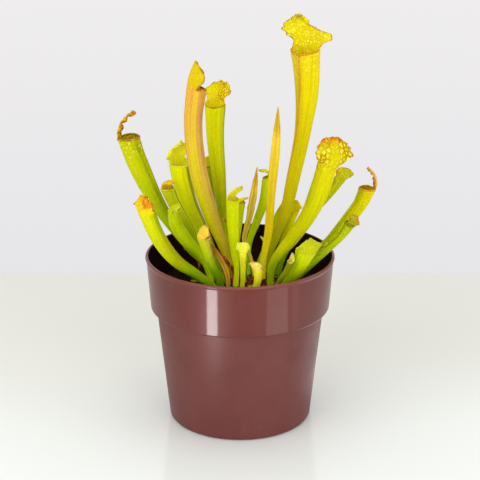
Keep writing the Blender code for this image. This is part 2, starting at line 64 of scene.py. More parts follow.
# Peat and crown, as in the CAD
SOIL_TOP = 93.5
CROWN_CENTRE = (5.0, -3.0, 88.0)
CROWN_AXES = (36.0, 32.0, 9.5)
CROWN_STUBS = (
    (-19, 1), (-13, -6), (-15, -13), (-6, -21), (14, -13), (12, -7),
    (28, -15), (23, 7), (3, 3), (0, 15), (6, 21))
FOOT_BOTTOM = 86.0
FOOT_RISE = 1.2

TAU = 2 * math.pi


def srgb(red, green, blue):
    """A colour given as seen on a screen, 0 to 255, as linear light with alpha."""
    share = np.array((red, green, blue)) / 255.0
    linear = np.where(share <= 0.04045, share / 12.92, ((share + 0.055) / 1.055) ** 2.4)
    return tuple(float(c) for c in linear) + (1.0,)


def unit(rows):
    """Vectors made one long."""
    return rows / np.maximum(np.linalg.norm(rows, axis=-1, keepdims=True), 1e-9)


def square_to(rows, along):
    """Vectors less their part along other unit vectors, then made one long."""
    return unit(rows - along * np.sum(rows * along, axis=1, keepdims=True))


def smoothstep(value, low, high):
    """0 below low, 1 above high, and 3t^2 - 2t^3 between."""
    t = np.clip((value - low) / (high - low), 0.0, 1.0)
    return t * t * (3 - 2 * t)


def ripples(points, size, seed, waves=9):
    """Smooth unevenness of about -1 to 1: the mean of sines along drawn directions, times 2.

    Each sine is sin(direction . point * 2 pi / (size * stretch) + phase).
    """
    draw = np.random.default_rng(seed)
    total = np.zeros(points.shape[:-1])
    for _ in range(waves):
        direction = unit(draw.normal(size=3))
        stretch = draw.uniform(0.7, 1.6)
        total += np.sin(points @ direction * TAU / (size * stretch) + draw.uniform(0, TAU))
    return total * 2 / waves


def drift(points, size, seed):
    """Ripples along X, Y and Z, drawn from three seeds in a row."""
    return np.stack([ripples(points, size, seed + k) for k in range(3)], -1)


# Meshes


def new_piece(name, points, faces, material, slot, nodes=(), corner_maps=None, values=None):
    """Make a mesh piece that rides on the plant.

    points are in millimetres. faces is a list of index arrays, each with a row per face.
    corner_maps holds for each UV map a list of arrays that run with faces, and values holds a
    number for each point.
    """
    mesh = bpy.data.meshes.new(name)
    rows = [row for block in faces for row in np.asarray(block).tolist()]
    mesh.from_pydata((np.asarray(points) * MM).tolist(), [], rows)
    for map_name, blocks in (corner_maps or {}).items():
        layer = mesh.uv_layers.new(name=map_name)
        flat = np.concatenate([np.asarray(block, np.float32).reshape(-1, 2) for block in blocks])
        layer.uv.foreach_set("vector", flat.ravel())
    for value_name, numbers in (values or {}).items():
        layer = mesh.attributes.new(value_name, "FLOAT", "POINT")
        layer.data.foreach_set("value", np.asarray(numbers, np.float32))
    mesh.shade_smooth()
    mesh.update()
    piece = bpy.data.objects.new(name, mesh)
    bpy.context.scene.collection.objects.link(piece)
    mesh.materials.append(material)
    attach(piece, "root")
    if nodes:
        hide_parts(*nodes)
    return piece


def grid_quads(rows, columns, closed=False):
    """Row and column numbers of a grid's quads, as arrays of shape (quads, 4)."""
    across = columns if closed else columns - 1
    i, j = np.meshgrid(np.arange(rows - 1), np.arange(across), indexing="ij")
    i, j = i.ravel(), j.ravel()
    return np.stack((i, i, i + 1, i + 1), 1), np.stack((j, j + 1, j + 1, j), 1)


def ring_steps(count):
    """Point numbers of a ring, and for each the next one round it."""
    ring = np.arange(count)
    return ring, (ring + 1) % count


def fan(*corners):
    """Triangles from three sets of point numbers; a single number is a point that all share."""
    return np.stack(np.broadcast_arrays(*corners), 1)


def paired(first, second):
    """Two arrays spread over one grid, as the two numbers of a UV map."""
    return np.stack(np.broadcast_arrays(first, second), -1)


def capped_tube(rows, columns):
    """Faces of a tube whose foot point and tip point are numbered after its rings.

    The row and column numbers of its quads come with them.
    """
    i, j = grid_quads(rows, columns, True)
    this, after = ring_steps(columns)
    end, foot = (rows - 1) * columns, rows * columns
    faces = [i * columns + j % columns, fan(foot, after, this), fan(end + this, end + after, foot + 1)]
    return faces, i, j


def revolve(profile, steps, wobble=None):
    """Points and faces of a profile of (radius, height) turned about Z.

    Points lie at (r cos a, r sin a, z). Both ends of the profile have radius 0 and become one
    point each, and it runs so that faces look outwards: up the outer and down the inner side.
    """
    profile = np.array(profile, float)
    angle = np.arange(steps) * TAU / steps
    radius = profile[:, :1]
    points = np.stack((radius * np.cos(angle), radius * np.sin(angle), profile[:, 1:] + 0 * angle), 2)
    if wobble is not None:
        points = wobble(points)
    i, j = grid_quads(len(profile), steps, True)
    quads = i * steps + j % steps
    this, after = ring_steps(steps)
    end = (len(profile) - 1) * steps
    before = end - steps
    faces = [quads[steps:-steps], fan(0, steps + after, steps + this),
             fan(before + this, before + after, end)]
    kept = np.ones(end + steps, bool)
    kept[1:steps] = False
    kept[end + 1:] = False
    number = np.cumsum(kept) - 1
    return points.reshape(-1, 3)[kept], [number[block] for block in faces]


def arc(centre, radius, start, end, count):
    """Points (radius, height) on an arc of a profile, angles in degrees."""
    angles = np.radians(np.linspace(start, end, count))
    return [(centre[0] + radius * math.cos(a), centre[1] + radius * math.sin(a)) for a in angles]


def point_normals(points, quads):
    """Unit normal at each point: the mean of the cross products of its quads' diagonals."""
    corner = points[quads]
    normal = np.cross(corner[:, 2] - corner[:, 0], corner[:, 3] - corner[:, 1])
    total = np.zeros_like(points)
    for k in range(4):
        np.add.at(total, quads[:, k], normal)
    return unit(total)


# Materials


class Nodes:
    """Short ways to add nodes to a node tree and to link them."""

    def __init__(self, tree):
        self.tree = tree

    def fill(self, sockets, values):
        """Link sockets to outputs, or set their numbers or colours."""
        for key, value in values.items():
            if isinstance(value, bpy.types.NodeSocket):
                self.tree.links.new(value, sockets[key])
            else:
                sockets[key].default_value = value

    def add(self, kind, inputs=None, **settings):
        """A shader node with its settings made and its inputs set or linked."""
        node = self.tree.nodes.new("ShaderNode" + kind)
        for key, setting in settings.items():
            setattr(node, key, setting)
        self.fill(node.inputs, inputs or {})
        return node

    def place(self):
        """The point on the object."""
        return self.add("TexCoord").outputs["Object"]

    def part(self, vector, number):
        """One number of a vector."""
        return self.add("SeparateXYZ", {"Vector": vector}).outputs[number]

    def math(self, operation, a, b=0.0, c=0.0, clamp=False):
        return self.add("Math", {0: a, 1: b, 2: c}, operation=operation, use_clamp=clamp).outputs[0]

    def times(self, product, *others):
        """The product of values."""
        for other in others:
            product = self.math("MULTIPLY", product, other)
        return product

    def mix(self, share, a, b, blend="MIX"):
        """One colour mixed into another."""
        return self.add("Mix", {0: share, 6: a, 7: b}, data_type="RGBA", blend_type=blend).outputs[2]

    def step(self, value, low, high, first=0.0, last=1.0):
        """A smooth change from first to last as value goes from low to high."""
        return self.add("MapRange", {
            "Value": value, "From Min": low, "From Max": high, "To Min": first, "To Max": last},
            interpolation_type="SMOOTHSTEP").outputs["Result"]

    def attribute(self, name):
        return self.add("Attribute", attribute_name=name).outputs["Fac"]

    def scaled(self, vector, scale, location=(0.0, 0.0, 0.0)):
        """A vector through a Mapping node."""
        return self.add("Mapping", {"Vector": vector, "Scale": scale, "Location": location}).outputs[0]

    def noise(self, vector, scale, detail=3.0, roughness=0.55, distortion=0.0):
        return self.add("TexNoise", {
            "Vector": vector, "Scale": scale, "Detail": detail, "Roughness": roughness,
            "Distortion": distortion}).outputs["Fac"]

    def cells(self, vector, feature):
        """Flat cells of uneven shape."""
        return self.add("TexVoronoi", {"Vector": vector, "Scale": 1.0, "Randomness": 0.9},
                        feature=feature, voronoi_dimensions="2D")

    def bump(self, height, strength, distance):
        return self.add("Bump", {"Height": height, "Strength": strength, "Distance": distance}).outputs[0]


COLOR = "NodeSocketColor"
NUMBER = "NodeSocketFloat"
SKIN_OUTPUTS = (("Color", COLOR), ("Roughness", NUMBER), ("Normal", "NodeSocketVector"))


def new_group(name, inputs):
    """A node group with the named inputs and a skin's outputs: its tree, Nodes and both ends."""
    tree = bpy.data.node_groups.new(name, "ShaderNodeTree")
    for socket_name, kind, default in inputs:
        socket = tree.interface.new_socket(socket_name, in_out="INPUT", socket_type=kind)
        socket.default_value = default
    for socket_name, kind in SKIN_OUTPUTS:
        tree.interface.new_socket(socket_name, in_out="OUTPUT", socket_type=kind)
    return (tree, Nodes(tree), tree.nodes.new("NodeGroupInput").outputs,
            tree.nodes.new("NodeGroupOutput").inputs)


def new_material(name):
    """A material with its Nodes and the inputs of its Principled shader."""
    material = bpy.data.materials.new(name)
    material.use_nodes = True
    tree = material.node_tree
    return material, Nodes(tree), tree.nodes["Principled BSDF"].inputs


def skinned(name, tree, looks, settings):
    """A material whose colour, roughness and normal come from a skin's node group."""
    material, n, shader = new_material(name)
    skin = n.add("Group", node_tree=tree)
    n.fill(skin.inputs, looks)
    n.fill(shader, {
        "Base Color": skin.outputs["Color"], "Roughness": skin.outputs["Roughness"],
        "Normal": skin.outputs["Normal"], **settings})
    return material


LEAF_COLOURS = (
    "Shade", "Foot", "Lower", "Upper", "Hood", "Inner", "Lip", "Margin", "Stripe", "Net", "Window",
    "Blush")
LEAF_AMOUNTS = {
    "veins": "Net amount", "start": "Net start", "mesh": "Net fineness", "half": "Bare half",
    "middle": "Bare middle", "panes": "Window amount", "rim": "Margin amount",
    "patches": "Blush amount", "streaks": "Streak amount", "stripes": "Stripe amount",
    "seam": "Seam amount"}


def make_leaf_skin():
    """Node group for living leaf skin.

    It reads the leaf's own maps: leaf_mm is millimetres round and along, leaf_fan spreads with
    the blade, and the values height, margin, inside and wing say where on the leaf a point is,
    and dusky how much painted shade it takes: the clump's shade on sides turned to its middle,
    and shade on the tube's edges.
    Colour goes from foot to hood, and the painted shade mixes the Shade colour in; over it lie
    soft streaks and clear stripes along the leaf, a blush, pale windows with a net of veins
    between them, the coloured margin and the seam.
    """
    tree, n, given, out = new_group(
        "leaf_skin", [(name, COLOR, (1.0, 1.0, 1.0, 1.0)) for name in LEAF_COLOURS]
        + [(name, NUMBER, 0.5) for name in LEAF_AMOUNTS.values()])
    height, margin, inside, wing, painted_shade = map(n.attribute, ("height", "margin", "inside", "wing", "painted_shade"))
    round_mm, fan_map = (
        n.add("UVMap", uv_map=name).outputs[0] for name in ("leaf_mm", "leaf_fan"))
    across = n.part(fan_map, 0)
    place = n.place()

    patchy = n.noise(place, 90.0)
    level = n.math("ADD", height, n.math("MULTIPLY_ADD", patchy, 0.24, -0.12))
    colour = n.mix(n.step(level, 0.10, 0.46), given["Foot"], given["Lower"])
    colour = n.mix(n.step(level, 0.38, 0.94), colour, given["Upper"])
    colour = n.mix(n.step(level, 0.98, 1.22), colour, given["Hood"])
    # Painted shade: sides turned to the clump's middle and the tube's edges take the Shade colour, less near
    # the foot
    painted_shade_share = n.times(painted_shade, n.step(patchy, 0.2, 0.6, 0.75, 1.0), n.step(level, 0.02, 0.35, 0.5, 1.0))
    colour = n.mix(painted_shade_share, colour, given["Shade"])
    colour = n.mix(n.times(inside, 0.9), colour, given["Inner"])

    streak = n.step(n.noise(n.scaled(fan_map, (3.4, 0.028, 1.0)), 1.0, 2.5, 0.6), 0.44, 0.62)
    fine_noise = n.noise(n.scaled(fan_map, (9.0, 0.05, 1.0), (3.0, 1.0, 0.0)), 1.0, 2.0, 0.5)
    fine_streak = n.step(fine_noise, 0.50, 0.60)
    streaks = n.math("MULTIPLY_ADD", fine_streak, 0.45, streak, clamp=True)
    shade = n.mix(1.0, colour, (0.70, 0.76, 0.50, 1.0), "MULTIPLY")
    colour = n.mix(n.times(streaks, given["Streak amount"]), colour, shade)
    stripe_noise = n.noise(n.scaled(fan_map, (1.25, 0.010, 1.0), (7.0, 2.0, 0.0)), 1.0, 2.0, 0.5)
    stripe = n.math("MULTIPLY_ADD", fine_streak, 0.2, n.step(stripe_noise, 0.48, 0.62), clamp=True)
    on_tube = n.times(n.step(level, 0.1, 0.65, 0.35, 1.0), n.step(level, 1.0, 1.2, 1.0, 0.2))
    colour = n.mix(n.times(stripe, on_tube, given["Stripe amount"]), colour, given["Stripe"])

    blush_noise = n.noise(place, 42.0, 4.0, 0.6, 0.6)
    colour = n.mix(n.times(n.step(blush_noise, 0.46, 0.68), given["Blush amount"]), colour, given["Blush"])

    bend = n.add("TexNoise", {"Vector": round_mm, "Scale": 0.5, "Detail": 2.0}).outputs["Color"]
    bent = n.add("VectorMath", {0: bend, 1: (1.3, 1.3, 0.0), 2: round_mm}, operation="MULTIPLY_ADD")
    sized = n.add("VectorMath", {0: bent.outputs[0], "Scale": given["Net fineness"]}, operation="SCALE")
    meshed = n.scaled(sized.outputs[0], (0.62, 0.55, 1.0))
    edge = n.cells(meshed, "DISTANCE_TO_EDGE").outputs["Distance"]
    cell = n.cells(meshed, "F1").outputs["Color"]
    lines = n.step(edge, 0.05, 0.22, 1.0, 0.0)
    near_hood = n.step(n.math("SUBTRACT", level, given["Net start"]), 0.0, 0.14)
    sided = n.step(n.times(across, given["Bare half"]), -1.3, 1.0)
    bare_half = n.times(sided, n.math("ABSOLUTE", given["Bare half"]))
    off_middle = n.step(n.math("ABSOLUTE", across), 0.4, 2.6, 1.0, 0.0)
    bare = n.math("MAXIMUM", bare_half, n.times(off_middle, given["Bare middle"]))
    netted = n.times(near_hood, n.math("SUBTRACT", 1.0, bare))
    net = n.times(lines, netted, n.step(n.noise(place, 160.0), 0.34, 0.52))
    rays = n.times(n.step(fine_noise, 0.54, 0.62), 0.6)
    veined = n.times(near_hood, n.math("MULTIPLY_ADD", bare, -0.45, 1.0))
    net = n.math("MAXIMUM", net, n.times(rays, veined))
    pale_cell = n.step(n.add("SeparateColor", {"Color": cell}).outputs[0], 0.32, 0.50)
    pane = n.times(n.step(edge, 0.12, 0.32), pale_cell, netted, given["Window amount"])
    colour = n.mix(pane, colour, given["Window"])
    colour = n.mix(n.times(net, given["Net amount"]), colour, given["Net"])

    ragged = n.math("MULTIPLY_ADD", n.noise(place, 300.0), 1.8, -1.02)
    rim = n.step(n.math("ADD", margin, ragged), 0.42, 0.98)
    rim = n.times(rim, n.math("SUBTRACT", 1.0, n.times(bare_half, n.step(height, 1.0, 1.1))))
    edging = n.mix(n.step(height, 1.04, 1.22), given["Lip"], given["Margin"])
    colour = n.mix(n.times(rim, given["Margin amount"]), colour, edging)
    crest = n.times(wing, n.step(patchy, 0.20, 0.55, 0.55, 1.0), given["Seam amount"])
    colour = n.mix(crest, colour, given["Lip"])

    freckle = n.noise(place, 700.0, 2.0, 0.6)
    tone = n.step(freckle, 0.30, 0.72, 0.93, 1.05)
    relief = n.math("MULTIPLY_ADD", lines, n.times(netted, 0.5), n.math(
        "MULTIPLY_ADD", fine_streak, 0.30, n.times(streak, 0.30)))
    relief = n.math("MULTIPLY_ADD", freckle, 0.25, relief)
    n.fill(out, {
        "Color": n.add("HueSaturation", {"Value": tone, "Color": colour}).outputs[0],
        "Roughness": n.step(n.noise(place, 240.0), 0.3, 0.7, 0.36, 0.56),
        "Normal": n.bump(relief, 0.55, 0.00025)})
    return tree


def make_dry_tissue():
    """Node group for dead leaf tissue: papery fibres along Z, dark cracks and pale worn ridges."""
    tree, n, given, out = new_group(
        "dry_tissue", [(name, COLOR, (0.5, 0.5, 0.5, 1.0)) for name in ("Dark", "Middle", "Pale")]
        + [("Fibre scale", NUMBER, 900.0)])
    place = n.place()
    stretched = n.scaled(place, (1.0, 1.0, 0.22))
    fibre = n.noise(stretched, given["Fibre scale"], 4.0, 0.65)
    patch = n.noise(place, 130.0, 4.0, 0.6)
    colour = n.mix(n.step(patch, 0.38, 0.62), given["Dark"], given["Middle"])
    colour = n.mix(n.step(fibre, 0.52, 0.72), colour, given["Pale"])
    crack = n.step(n.noise(stretched, 420.0), 0.34, 0.44, 1.0, 0.0)
    n.fill(out, {
        "Color": n.mix(n.times(crack, 0.7), colour, (0.012, 0.006, 0.004, 1.0)),
        "Roughness": n.step(fibre, 0.3, 0.7, 0.62, 0.92),
        "Normal": n.bump(n.math("MULTIPLY_ADD", fibre, 0.6, n.times(patch, 0.5)), 0.8, 0.0005)})
    return tree


LEAF_SKIN = make_leaf_skin()
DRY_TISSUE = make_dry_tissue()


def leaf_material(name, look):
    """Living leaf: the leaf_skin group with this leaf's own colours and amounts."""
    looks = {socket: srgb(*look[socket.lower()]) for socket in LEAF_COLOURS}
    looks.update({socket: look[key] for key, socket in LEAF_AMOUNTS.items()})
    return skinned(name + "_skin", LEAF_SKIN, looks, {
        "Subsurface Weight": 0.6, "Subsurface Radius": (1.0, 0.8, 0.15), "Subsurface Scale": 0.002,
        "Specular IOR Level": 0.03})


def dry_material(name, dark, middle, pale, fibre=900.0):
    """Dead leaf or crown tissue: the dry_tissue group with its own colours."""
    looks = {"Dark": srgb(*dark), "Middle": srgb(*middle), "Pale": srgb(*pale), "Fibre scale": fibre}
    return skinned(name, DRY_TISSUE, looks, {"Specular IOR Level": 0.12})


def pot_material():
    """Moulded plum-brown plastic: a clear gloss on the band, satin and finely grained below it, and a
    painted highlight round the top of the lip.
    """
    material, n, shader = new_material("cover_pot_plastic")
    place = n.place()
    z = n.part(place, 2)
    band = n.step(z, 0.0806, 0.0816)
    cloudy = n.step(n.noise(place, 22.0), 0.35, 0.65)
    grain = n.noise(place, 1500.0, 3.0, 0.6)
    satin = n.mix(cloudy, (0.130, 0.034, 0.029, 1.0), (0.146, 0.041, 0.036, 1.0))
    satin = n.mix(n.step(grain, 0.45, 0.75, 0.0, 0.3), satin, (0.21, 0.075, 0.068, 1.0))
    gloss = n.mix(cloudy, (0.107, 0.0145, 0.009, 1.0), (0.121, 0.018, 0.012, 1.0))
    colour = n.mix(band, satin, gloss)
    # Painted highlight: a lighter, redder line round the top of the lip, where light catches it
    colour = n.mix(n.step(z, 0.1172, 0.1188, 0.0, 0.5), colour, (0.215, 0.052, 0.044, 1.0))
    dust = n.times(n.step(n.noise(place, 60.0, 5.0, 0.7), 0.58, 0.82), 0.08)
    n.fill(shader, {
        "Base Color": n.mix(dust, colour, (0.38, 0.28, 0.24, 1.0)),
        "Roughness": n.step(n.noise(place, 34.0, 4.0, 0.6), 0.4, 0.75, 0.40, 0.50),
        "Specular IOR Level": 0.18, "Coat Weight": n.times(band, 0.42), "Coat Roughness": 0.08,
        "Normal": n.bump(n.times(grain, n.math("SUBTRACT", 1.0, band)), 0.3, 0.0002)})
    return material


def pot_inside_material():
    """The pot's inner wall: dull, and nearly black plum as painted shade for the deep shade inside the pot,
    with a bloom of dried peat.
    """
    material, n, shader = new_material("cover_pot_inside")
    place = n.place()
    cloud = n.noise(place, 160.0, 4.0)
    # Painted shade: the wall's nearly black colours stand for the deep shade inside the pot
    colour = n.mix(n.step(cloud, 0.4, 0.7), (0.008, 0.0012, 0.0018, 1.0), (0.018, 0.003, 0.003, 1.0))
    dusty = n.step(n.noise(n.scaled(place, (1.0, 1.0, 0.4)), 240.0, 4.0, 0.7), 0.60, 0.80, 0.0, 0.5)
    n.fill(shader, {
        "Base Color": n.mix(dusty, colour, srgb(50, 26, 16)), "Specular IOR Level": 0.04,
        "Roughness": n.step(cloud, 0.3, 0.7, 0.55, 0.80), "Normal": n.bump(cloud, 0.3, 0.0003)})
    return material


def peat_material():
    """Dark damp peat with lighter fibres and a faint green algae bloom."""
    material, n, shader = new_material("damp_peat")
    place = n.place()
    clump = n.noise(place, 180.0, 5.0, 0.65)
    fibre = n.noise(n.scaled(place, (1.0, 0.4, 1.0)), 900.0, 3.0, 0.7)
    colour = n.mix(n.step(clump, 0.35, 0.65), srgb(16, 8, 6), srgb(42, 22, 14))
    colour = n.mix(n.step(fibre, 0.60, 0.76), colour, srgb(88, 52, 30))
    moss = n.times(n.step(n.noise(place, 75.0, 4.0), 0.56, 0.70), 0.35)
    n.fill(shader, {
        "Base Color": n.mix(moss, colour, srgb(62, 58, 22)), "Specular IOR Level": 0.05,
        "Roughness": n.step(clump, 0.3, 0.7, 0.70, 0.96),
        "Normal": n.bump(n.math("MULTIPLY_ADD", fibre, 0.4, clump), 1.0, 0.0008)})
    return material


def table_material():
    """Pale polished table top, a little whiter towards its front as painted light."""
    material, n, shader = new_material("pale_table")
    place = n.place()
    cloudy = n.step(n.noise(place, 2.5, 2.0), 0.3, 0.7)
    colour = n.mix(cloudy, (0.735, 0.738, 0.665, 1.0), (0.76, 0.763, 0.695, 1.0))
    # Painted light: the table top is lighter and greener towards its front
    in_front = n.step(n.part(place, 1), -0.06, 0.17, 1.0, 0.0)
    n.fill(shader, {
        "Base Color": n.mix(in_front, colour, (0.845, 0.88, 0.83, 1.0)),
        "Roughness": n.step(n.noise(place, 9.0), 0.3, 0.7, 0.10, 0.15)})
    return material


# Leaves


def hood(length, lean, right, left=None, wrap=45, ruffle=0.0, waves=3.0, spread=1.6,
         lobes=3.0, scallop=0.25, frill=0.2, dome=0.10, rows=26, tip_edge=0.6):
    """A hood's sizes, the first eight as in the CAD.

    lobes is how many scallops each margin has and scallop their depth, frill the depth of the
    fine waves out of the blade, dome how far the corners of the tip drop, as a share of the
    length, and a smaller tip_edge makes the tip's coloured margin wider.
    """
    return {
        "length": length, "lean": lean, "right": right, "left": left or right, "wrap": wrap,
        "ruffle": ruffle, "waves": waves, "spread": spread, "lobes": lobes, "scallop": scallop,
        "frill": frill, "dome": dome, "rows": rows, "tip_edge": tip_edge}


def crown_top(x, y):
    """Height of the CAD crown's upper surface above a point."""
    across = (x - CROWN_CENTRE[0]) / CROWN_AXES[0]
    ahead = (y - CROWN_CENTRE[1]) / CROWN_AXES[1]
    return CROWN_CENTRE[2] + CROWN_AXES[2] * np.sqrt(np.maximum(0.0, 1.0 - across ** 2 - ahead ** 2))


def leaf_knots(path, foot_top=None):
    """A leaf's path with its foot put first: straight up from the hole's bottom to foot_top."""
    x, y, width = path[0]
    foot_top = foot_top or float(crown_top(x, y)) + FOOT_RISE
    return np.array([(x, y, FOOT_BOTTOM, width), (x, y, foot_top, width)] + list(path[1:]), float)


def hermite(marks, rows, at, slope=None):
    """Values at the places at on a cubic Hermite curve through rows at marks."""
    if slope is None:
        slope = np.gradient(rows, marks, axis=0)
    piece = np.clip(np.searchsorted(marks, at, side="right") - 1, 0, len(marks) - 2)
    length = (marks[piece + 1] - marks[piece])[:, None]
    t = (at - marks[piece])[:, None] / length
    start = (1 + 2 * t) * (1 - t) ** 2 * rows[piece] + t * (1 - t) ** 2 * length * slope[piece]
    end = t * t * (3 - 2 * t) * rows[piece + 1] + t * t * (t - 1) * length * slope[piece + 1]
    return start + end


def path_rows(knots, marks):
    """Rows of (x, y, z, width) on the leaf's curve, and their millimetres from the foot.

    marks are the rows' shares of the way from the foot's top to the leaf's end; the row of the
    foot's bottom goes before them.
    """
    step = np.linalg.norm(np.diff(knots[:, :3], axis=0), axis=1)
    along = np.concatenate(([0.0], np.cumsum(step)))
    slope = np.gradient(knots, along, axis=0)
    slope[:2] = (0.0, 0.0, 1.0, 0.0)
    at = np.concatenate(([0.0], along[1] + (along[-1] - along[1]) * marks))
    return hermite(along, knots, at, slope), at


def directions(centre):
    """The way along a leaf at each of its rows: straight up at the foot's two."""
    along = unit(np.gradient(centre, axis=0))
    along[:2] = (0.0, 0.0, 1.0)
    return along


def cad_frames(centre, face, level):
    """Along and front directions of the CAD's rows; face turns from foot to mouth, in degrees."""
    share = np.linspace(0.0, 1.0, len(centre))[:, None]
    along = directions(centre)
    near_mouth = level * np.clip((share - 0.72) / 0.28, 0.0, 1.0) ** 2
    along = unit(along * (1 - near_mouth) + np.array([0.0, 0.0, 1.0]) * near_mouth)
    turn = np.radians(face[0] + (face[1] - face[0]) * share)
    front = np.concatenate((np.sin(turn), -np.cos(turn), np.zeros_like(turn)), axis=1)
    return along, square_to(front, along)


def leaf_frames(knots, face, level, cad_rows, marks):
    """The CAD's frames carried to the fine rows, each direction blended along the leaf."""
    coarse, _ = path_rows(knots, np.linspace(0.0, 1.0, cad_rows - 1))
    cad_share = np.linspace(0.0, 1.0, cad_rows)
    share = np.concatenate(([0.0], (1 + (cad_rows - 2) * marks) / (cad_rows - 1)))
    along, front = (
        np.stack([np.interp(share, cad_share, part[:, k]) for k in range(3)], 1)
        for part in cad_frames(coarse[:, :3], face, level))
    along = unit(along)
    front = square_to(front, along)
    return along, front, np.cross(along, front), share


def mouth_lift(angle, leaf):
    """How far the mouth's edge stands above its flat ring: up at the sides and down in front."""
    sides, front = leaf["mouth"]
    ahead = np.maximum(0.0, np.cos(angle))
    uneven = 0.2 * ahead * np.sin(3 * angle + leaf["seed"])
    return sides * (1 - np.abs(np.cos(angle))) - front * ahead ** 1.5 + uneven


WING_POWER = 160
KEEL_POWER = 24
RIB_DEPTH = 0.012
SWELL_DEPTH = 0.018


def tube_rings(line, frames, columns, leaf, share):
    """Rings round the leaf's path.

    A ring's radius is half the width, times one plus the low keel and sharp wing on its front,
    shallow ribs that die out towards the mouth, and the lip's flare over the last share.
    """
    along, front, side = frames
    angle = np.arange(columns) * TAU / columns
    at_front = np.maximum(0.0, np.cos(angle))
    rise = smoothstep(share, 0.12, 0.3) * (1 - 0.75 * smoothstep(share, 0.97, 1.0))
    wing = leaf["wing"] * rise[:, None] * at_front[None, :] ** WING_POWER
    ridge = 1 + leaf["keel"] * at_front[None, :] ** KEEL_POWER
    ribs = RIB_DEPTH * np.sin(leaf["ribs"] * angle[None, :] + 2.0 * share[:, None]) * rise[:, None]
    last = (leaf["rows"] - 2) / (leaf["rows"] - 1)
    flare = 1 + leaf["flare"] * np.clip((share - last) / (1 - last), 0, 1)[:, None] ** 1.6 * (
        1 + np.cos(angle))[None, :] / 2
    swell = 1 + SWELL_DEPTH * np.sin(9.0 * share + leaf["seed"])[:, None]
    radius = (line[:, 3:] / 2) * (ridge + ribs) * flare * swell + wing
    ring = front[:, None, :] * np.cos(angle)[None, :, None] + side[:, None, :] * np.sin(angle)[None, :, None]
    lift = smoothstep(share, 0.9, 1.0)[:, None] * mouth_lift(angle, leaf)[None, :]
    return line[:, None, :3] + ring * radius[:, :, None] + along[:, None, :] * lift[:, :, None], angle


def torn(turn):
    """A torn edge's depth: the size of a sine, notched by that of a faster one."""
    return np.abs(np.sin(turn)) - 0.6 + 0.55 * (0.4 - np.abs(np.sin(2.7 * turn + 1.0)))


def hood_grid(rim_centre, rim_radius, frames, lid, columns, root_angle, cad_rows, seed):
    """The hood's points, rows from its root to its tip and columns from left to right.

    The middle line and the margins are the CAD's, made smooth. The margins get scallops along
    the blade, the tip scallops across it, and waves out of the blade grow towards every edge.
    """
    along, front, side = (part[-1] for part in frames)
    cad_v = np.arange(0, cad_rows + 1) / cad_rows
    lean_marks = np.radians(lid["lean"][0] + (lid["lean"][1] - lid["lean"][0]) * cad_v)
    spine_marks = np.stack((np.sin(lean_marks), np.cos(lean_marks)), 1) * (lid["length"] / cad_rows)
    spine_marks[0] = 0.0
    v = np.arange(1, lid["rows"] + 1) / lid["rows"]
    spine = hermite(cad_v, np.cumsum(spine_marks, axis=0), v)
    lean = np.interp(v, cad_v, lean_marks)[:, None]
    root = rim_radius * root_angle
    marks = np.linspace(0.0, 1.0, len(lid["right"]) + 1)
    edges = np.stack(([-root] + [-w for w in lid["left"]], [root] + list(lid["right"])), 1)
    left, right = hermite(marks, edges, v).T
    half_angle = root_angle + (math.radians(lid["wrap"]) - root_angle) * np.minimum(1.0, lid["spread"] * v)
    half_angle = half_angle[:, None]
    middle, half = (left + right) / 2, (right - left) / 2
    u = np.linspace(-1.0, 1.0, columns)[None, :]
    v = v[:, None]
    bend = half[:, None] / half_angle
    lateral = middle[:, None] + bend * np.sin(u * half_angle)
    inward = bend * (1 - np.cos(u * half_angle))
    edge = np.maximum(u ** 2, v ** 3)
    inward = inward + lid["ruffle"] * edge * np.sin(lid["waves"] * (v * math.pi + 1.7 * u))
    out = np.maximum(np.abs(u) ** 5, v ** 6) * smoothstep(v, 0.05, 0.3)
    phase = seed * 1.7
    inward = inward + lid["frill"] * out * np.sin(
        2.6 * lid["lobes"] * (v * math.pi * 0.9 + 1.9 * u) + phase)
    lobe = torn(math.pi * (lid["lobes"] * v + 0.25 * np.sign(u)) + phase)
    lateral = lateral + np.sign(u) * np.abs(u) ** 4 * smoothstep(v, 0.08, 0.3) * lid["scallop"] * lobe
    crest = torn(math.pi * lid["lobes"] * 0.8 * u + phase)
    lift = lid["scallop"] * v ** 6 * crest - lid["dome"] * lid["length"] * v ** 3 * u ** 4
    tangent = np.cos(lean) * along + np.sin(lean) * front
    inner = np.cos(lean) * front - np.sin(lean) * along
    middle_line = rim_centre - front * rim_radius + spine[:, :1] * front + spine[:, 1:] * along
    points = middle_line[:, None, :] + side * lateral[:, :, None] + inner[:, None, :] * inward[:, :, None]
    points = points + tangent[:, None, :] * lift[:, :, None]
    return points, half, v.ravel(), u.ravel()


def border_loop(rows, columns, first_back, hood_rows, hood_columns):
    """Point numbers round the sheet's open edge, and for each the next point into the sheet.

    The loop goes round the front of the mouth, up the hood's right margin, across its tip and
    down its left margin.
    """
    start = rows * columns
    rim_columns = (first_back + hood_columns - 1 + np.arange(columns - hood_columns + 2)) % columns
    rim = (rows - 1) * columns + rim_columns
    rim_in = (rows - 2) * columns + rim_columns

    def at(i, j):
        return start + (i - 1) * hood_columns + j

    up = np.arange(1, hood_rows + 1)
    down = np.arange(hood_rows - 1, 0, -1)
    across = np.arange(hood_columns - 2, -1, -1)
    last = hood_columns - 1
    loop = np.concatenate((rim, at(up, last), at(hood_rows, across), at(down, 0)))
    into = np.concatenate((
        rim_in, at(up[:-1], last - 1), [at(hood_rows - 1, last - 1)],
        at(hood_rows - 1, across[:-1]), [at(hood_rows - 1, 1)], at(down, 1)))
    return loop, into, len(rim)


def smooth_loop(values, passes):
    """Values round a closed loop, each made the mean of itself and its neighbours, repeatedly."""
    for _ in range(passes):
        values = (values + np.roll(values, 1, axis=0) + np.roll(values, -1, axis=0)) / 3
    return values


